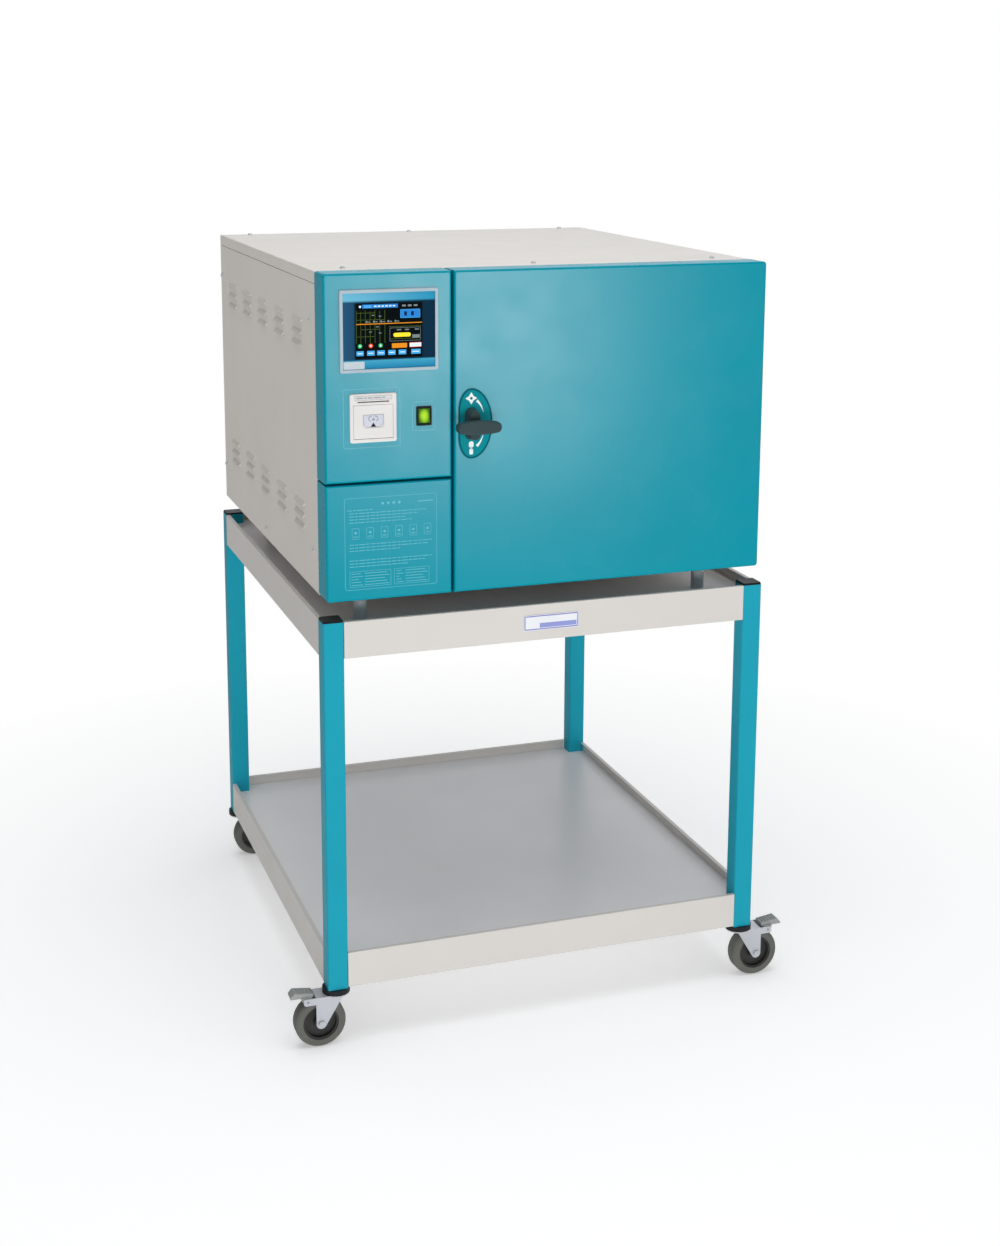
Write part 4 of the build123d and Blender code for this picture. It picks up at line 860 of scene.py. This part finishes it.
def floor():
    """Pale floor that fades into the white backdrop and is dimmer in reflections."""
    mesh = bmesh.new()
    bmesh.ops.create_circle(mesh, cap_ends=True, segments=96, radius=FLOOR_RADIUS)
    data = bpy.data.meshes.new("floor")
    mesh.to_mesh(data)
    mesh.free()
    made = bpy.data.objects.new("floor", data)
    bpy.context.scene.collection.objects.link(made)
    material = bpy.data.materials.new("floor_white")
    material.use_nodes = True
    tree = material.node_tree
    tree.nodes.clear()
    output = tree.nodes.new("ShaderNodeOutputMaterial")
    path = tree.nodes.new("ShaderNodeLightPath")
    strength = map_range(tree, path.outputs["Is Glossy Ray"], (1.0, FLOOR_IN_REFLECTIONS), (0.0, 1.0))
    matt = tree.nodes.new("ShaderNodeBsdfDiffuse")
    matt.inputs["Color"].default_value = FLOOR_COLOUR
    lift = tree.nodes.new("ShaderNodeEmission")
    tree.links.new(product(tree, strength, FLOOR_LIFT), lift.inputs["Strength"])
    near = tree.nodes.new("ShaderNodeAddShader")
    tree.links.new(matt.outputs["BSDF"], near.inputs[0])
    tree.links.new(lift.outputs["Emission"], near.inputs[1])
    far = tree.nodes.new("ShaderNodeEmission")
    far.inputs["Color"].default_value = WHITE
    tree.links.new(strength, far.inputs["Strength"])
    place = tree.nodes.new("ShaderNodeTexCoord")
    away = tree.nodes.new("ShaderNodeVectorMath")
    away.operation = "LENGTH"
    tree.links.new(place.outputs["Object"], away.inputs[0])
    blend = tree.nodes.new("ShaderNodeMixShader")
    tree.links.new(map_range(tree, away.outputs["Value"], (0.0, 1.0), FLOOR_FADE), blend.inputs["Fac"])
    tree.links.new(near.outputs["Shader"], blend.inputs[1])
    tree.links.new(far.outputs["Emission"], blend.inputs[2])
    tree.links.new(blend.outputs["Shader"], output.inputs["Surface"])
    data.materials.append(material)


def backdrop():
    """White behind the object for the camera, softer as light and in reflections."""
    world = bpy.data.worlds.new("studio")
    bpy.context.scene.world = world
    world.use_nodes = True
    tree = world.node_tree
    tree.nodes.clear()
    output = tree.nodes.new("ShaderNodeOutputWorld")
    seen = tree.nodes.new("ShaderNodeBackground")
    seen.inputs["Color"].default_value = WHITE
    light = tree.nodes.new("ShaderNodeBackground")
    light.inputs["Color"].default_value = DAYLIGHT
    place = tree.nodes.new("ShaderNodeTexCoord")
    towards = tree.nodes.new("ShaderNodeSeparateXYZ")
    tree.links.new(place.outputs["Generated"], towards.inputs["Vector"])
    sideways = map_range(tree, towards.outputs["X"], MIRRORED_SIDEWAYS, MIRRORED_SIDEWAYS_SPAN)
    depth = map_range(tree, towards.outputs["Y"], MIRRORED_DEPTH, MIRRORED_DEPTH_SPAN)
    path = tree.nodes.new("ShaderNodeLightPath")
    strength = tree.nodes.new("ShaderNodeMapRange")
    tree.links.new(path.outputs["Is Glossy Ray"], strength.inputs["Value"])
    tree.links.new(map_range(tree, towards.outputs["X"], LIGHT_LEVELS, LIGHT_SPAN), strength.inputs["To Min"])
    tree.links.new(product(tree, sideways, depth), strength.inputs["To Max"])
    tree.links.new(strength.outputs["Result"], light.inputs["Strength"])
    plain = tree.nodes.new("ShaderNodeMath")
    plain.operation = "MAXIMUM"
    tree.links.new(path.outputs["Is Camera Ray"], plain.inputs[0])
    tree.links.new(path.outputs["Is Transmission Ray"], plain.inputs[1])
    blend = tree.nodes.new("ShaderNodeMixShader")
    tree.links.new(plain.outputs["Value"], blend.inputs["Fac"])
    tree.links.new(light.outputs["Background"], blend.inputs[1])
    tree.links.new(seen.outputs["Background"], blend.inputs[2])
    tree.links.new(blend.outputs["Shader"], output.inputs["Surface"])


def softbox(name, place, target, width, height, power, colour=(1.0, 1.0, 1.0)):
    data = bpy.data.lights.new(name, "AREA")
    data.shape = "RECTANGLE"
    data.size = width
    data.size_y = height
    data.energy = power
    data.color = colour
    made = bpy.data.objects.new(name, data)
    made.location = place
    made.rotation_mode = "QUATERNION"
    made.rotation_quaternion = (Vector(target) - Vector(place)).to_track_quat("-Z", "Y")
    made.visible_camera = False
    bpy.context.scene.collection.objects.link(made)
    return made


def gloss_on_front(card):
    """Limits a lamp to the sheen on the three teal fronts."""
    fronts = bpy.data.collections.new("teal_fronts")
    for name in ("door_shell", "control_panel", "service_panel"):
        fronts.objects.link(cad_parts[name])
    card.visible_diffuse = False
    card.light_linking.receiver_collection = fronts
    card.light_linking.blocker_collection = fronts


def camera():
    data = bpy.data.cameras.new("camera")
    data.sensor_fit = "AUTO"
    data.sensor_width = 36.0
    data.lens = CAMERA_LENS
    data.shift_y = CAMERA_SHIFT_Y
    data.clip_start = 0.05
    data.clip_end = 100.0
    heading = math.radians(CAMERA_HEADING)
    pitch = math.radians(CAMERA_PITCH)
    flat = math.cos(pitch)
    forward = Vector((math.sin(heading) * flat, math.cos(heading) * flat, math.sin(pitch)))
    level = forward.cross(Vector((0, 0, 1))).normalized()
    upright = level.cross(forward)
    roll = math.radians(CAMERA_ROLL)
    right = math.cos(roll) * level + math.sin(roll) * upright
    up = -math.sin(roll) * level + math.cos(roll) * upright
    turn = Matrix((right, up, -forward)).transposed().to_4x4()
    made = bpy.data.objects.new("camera", data)
    made.matrix_world = Matrix.Translation(CAMERA_PLACE) @ turn
    bpy.context.scene.collection.objects.link(made)
    bpy.context.scene.camera = made


floor()
backdrop()
front_lamp = softbox(
    "front_softbox",
    place=(-0.6, -3.8, 0.3),
    target=(-0.1, -0.4, 0.5),
    width=1.6,
    height=1.4,
    power=66.0,
)
front_lamp.visible_glossy = False
gloss_lamp = softbox(
    "gloss_card",
    place=(0.91, -3.9, 1.08),
    target=(-0.1, -0.4, 1.2),
    width=1.0,
    height=1.3,
    power=305.0,
)
gloss_on_front(gloss_lamp)
softbox(
    "top_softbox",
    place=(-0.2, -0.4, 4.2),
    target=(0.0, 0.0, 0.8),
    width=3.2,
    height=3.2,
    power=74.0,
    colour=(0.96, 0.985, 1.0),
)
camera()

bpy.context.scene.view_settings.view_transform = "Standard"
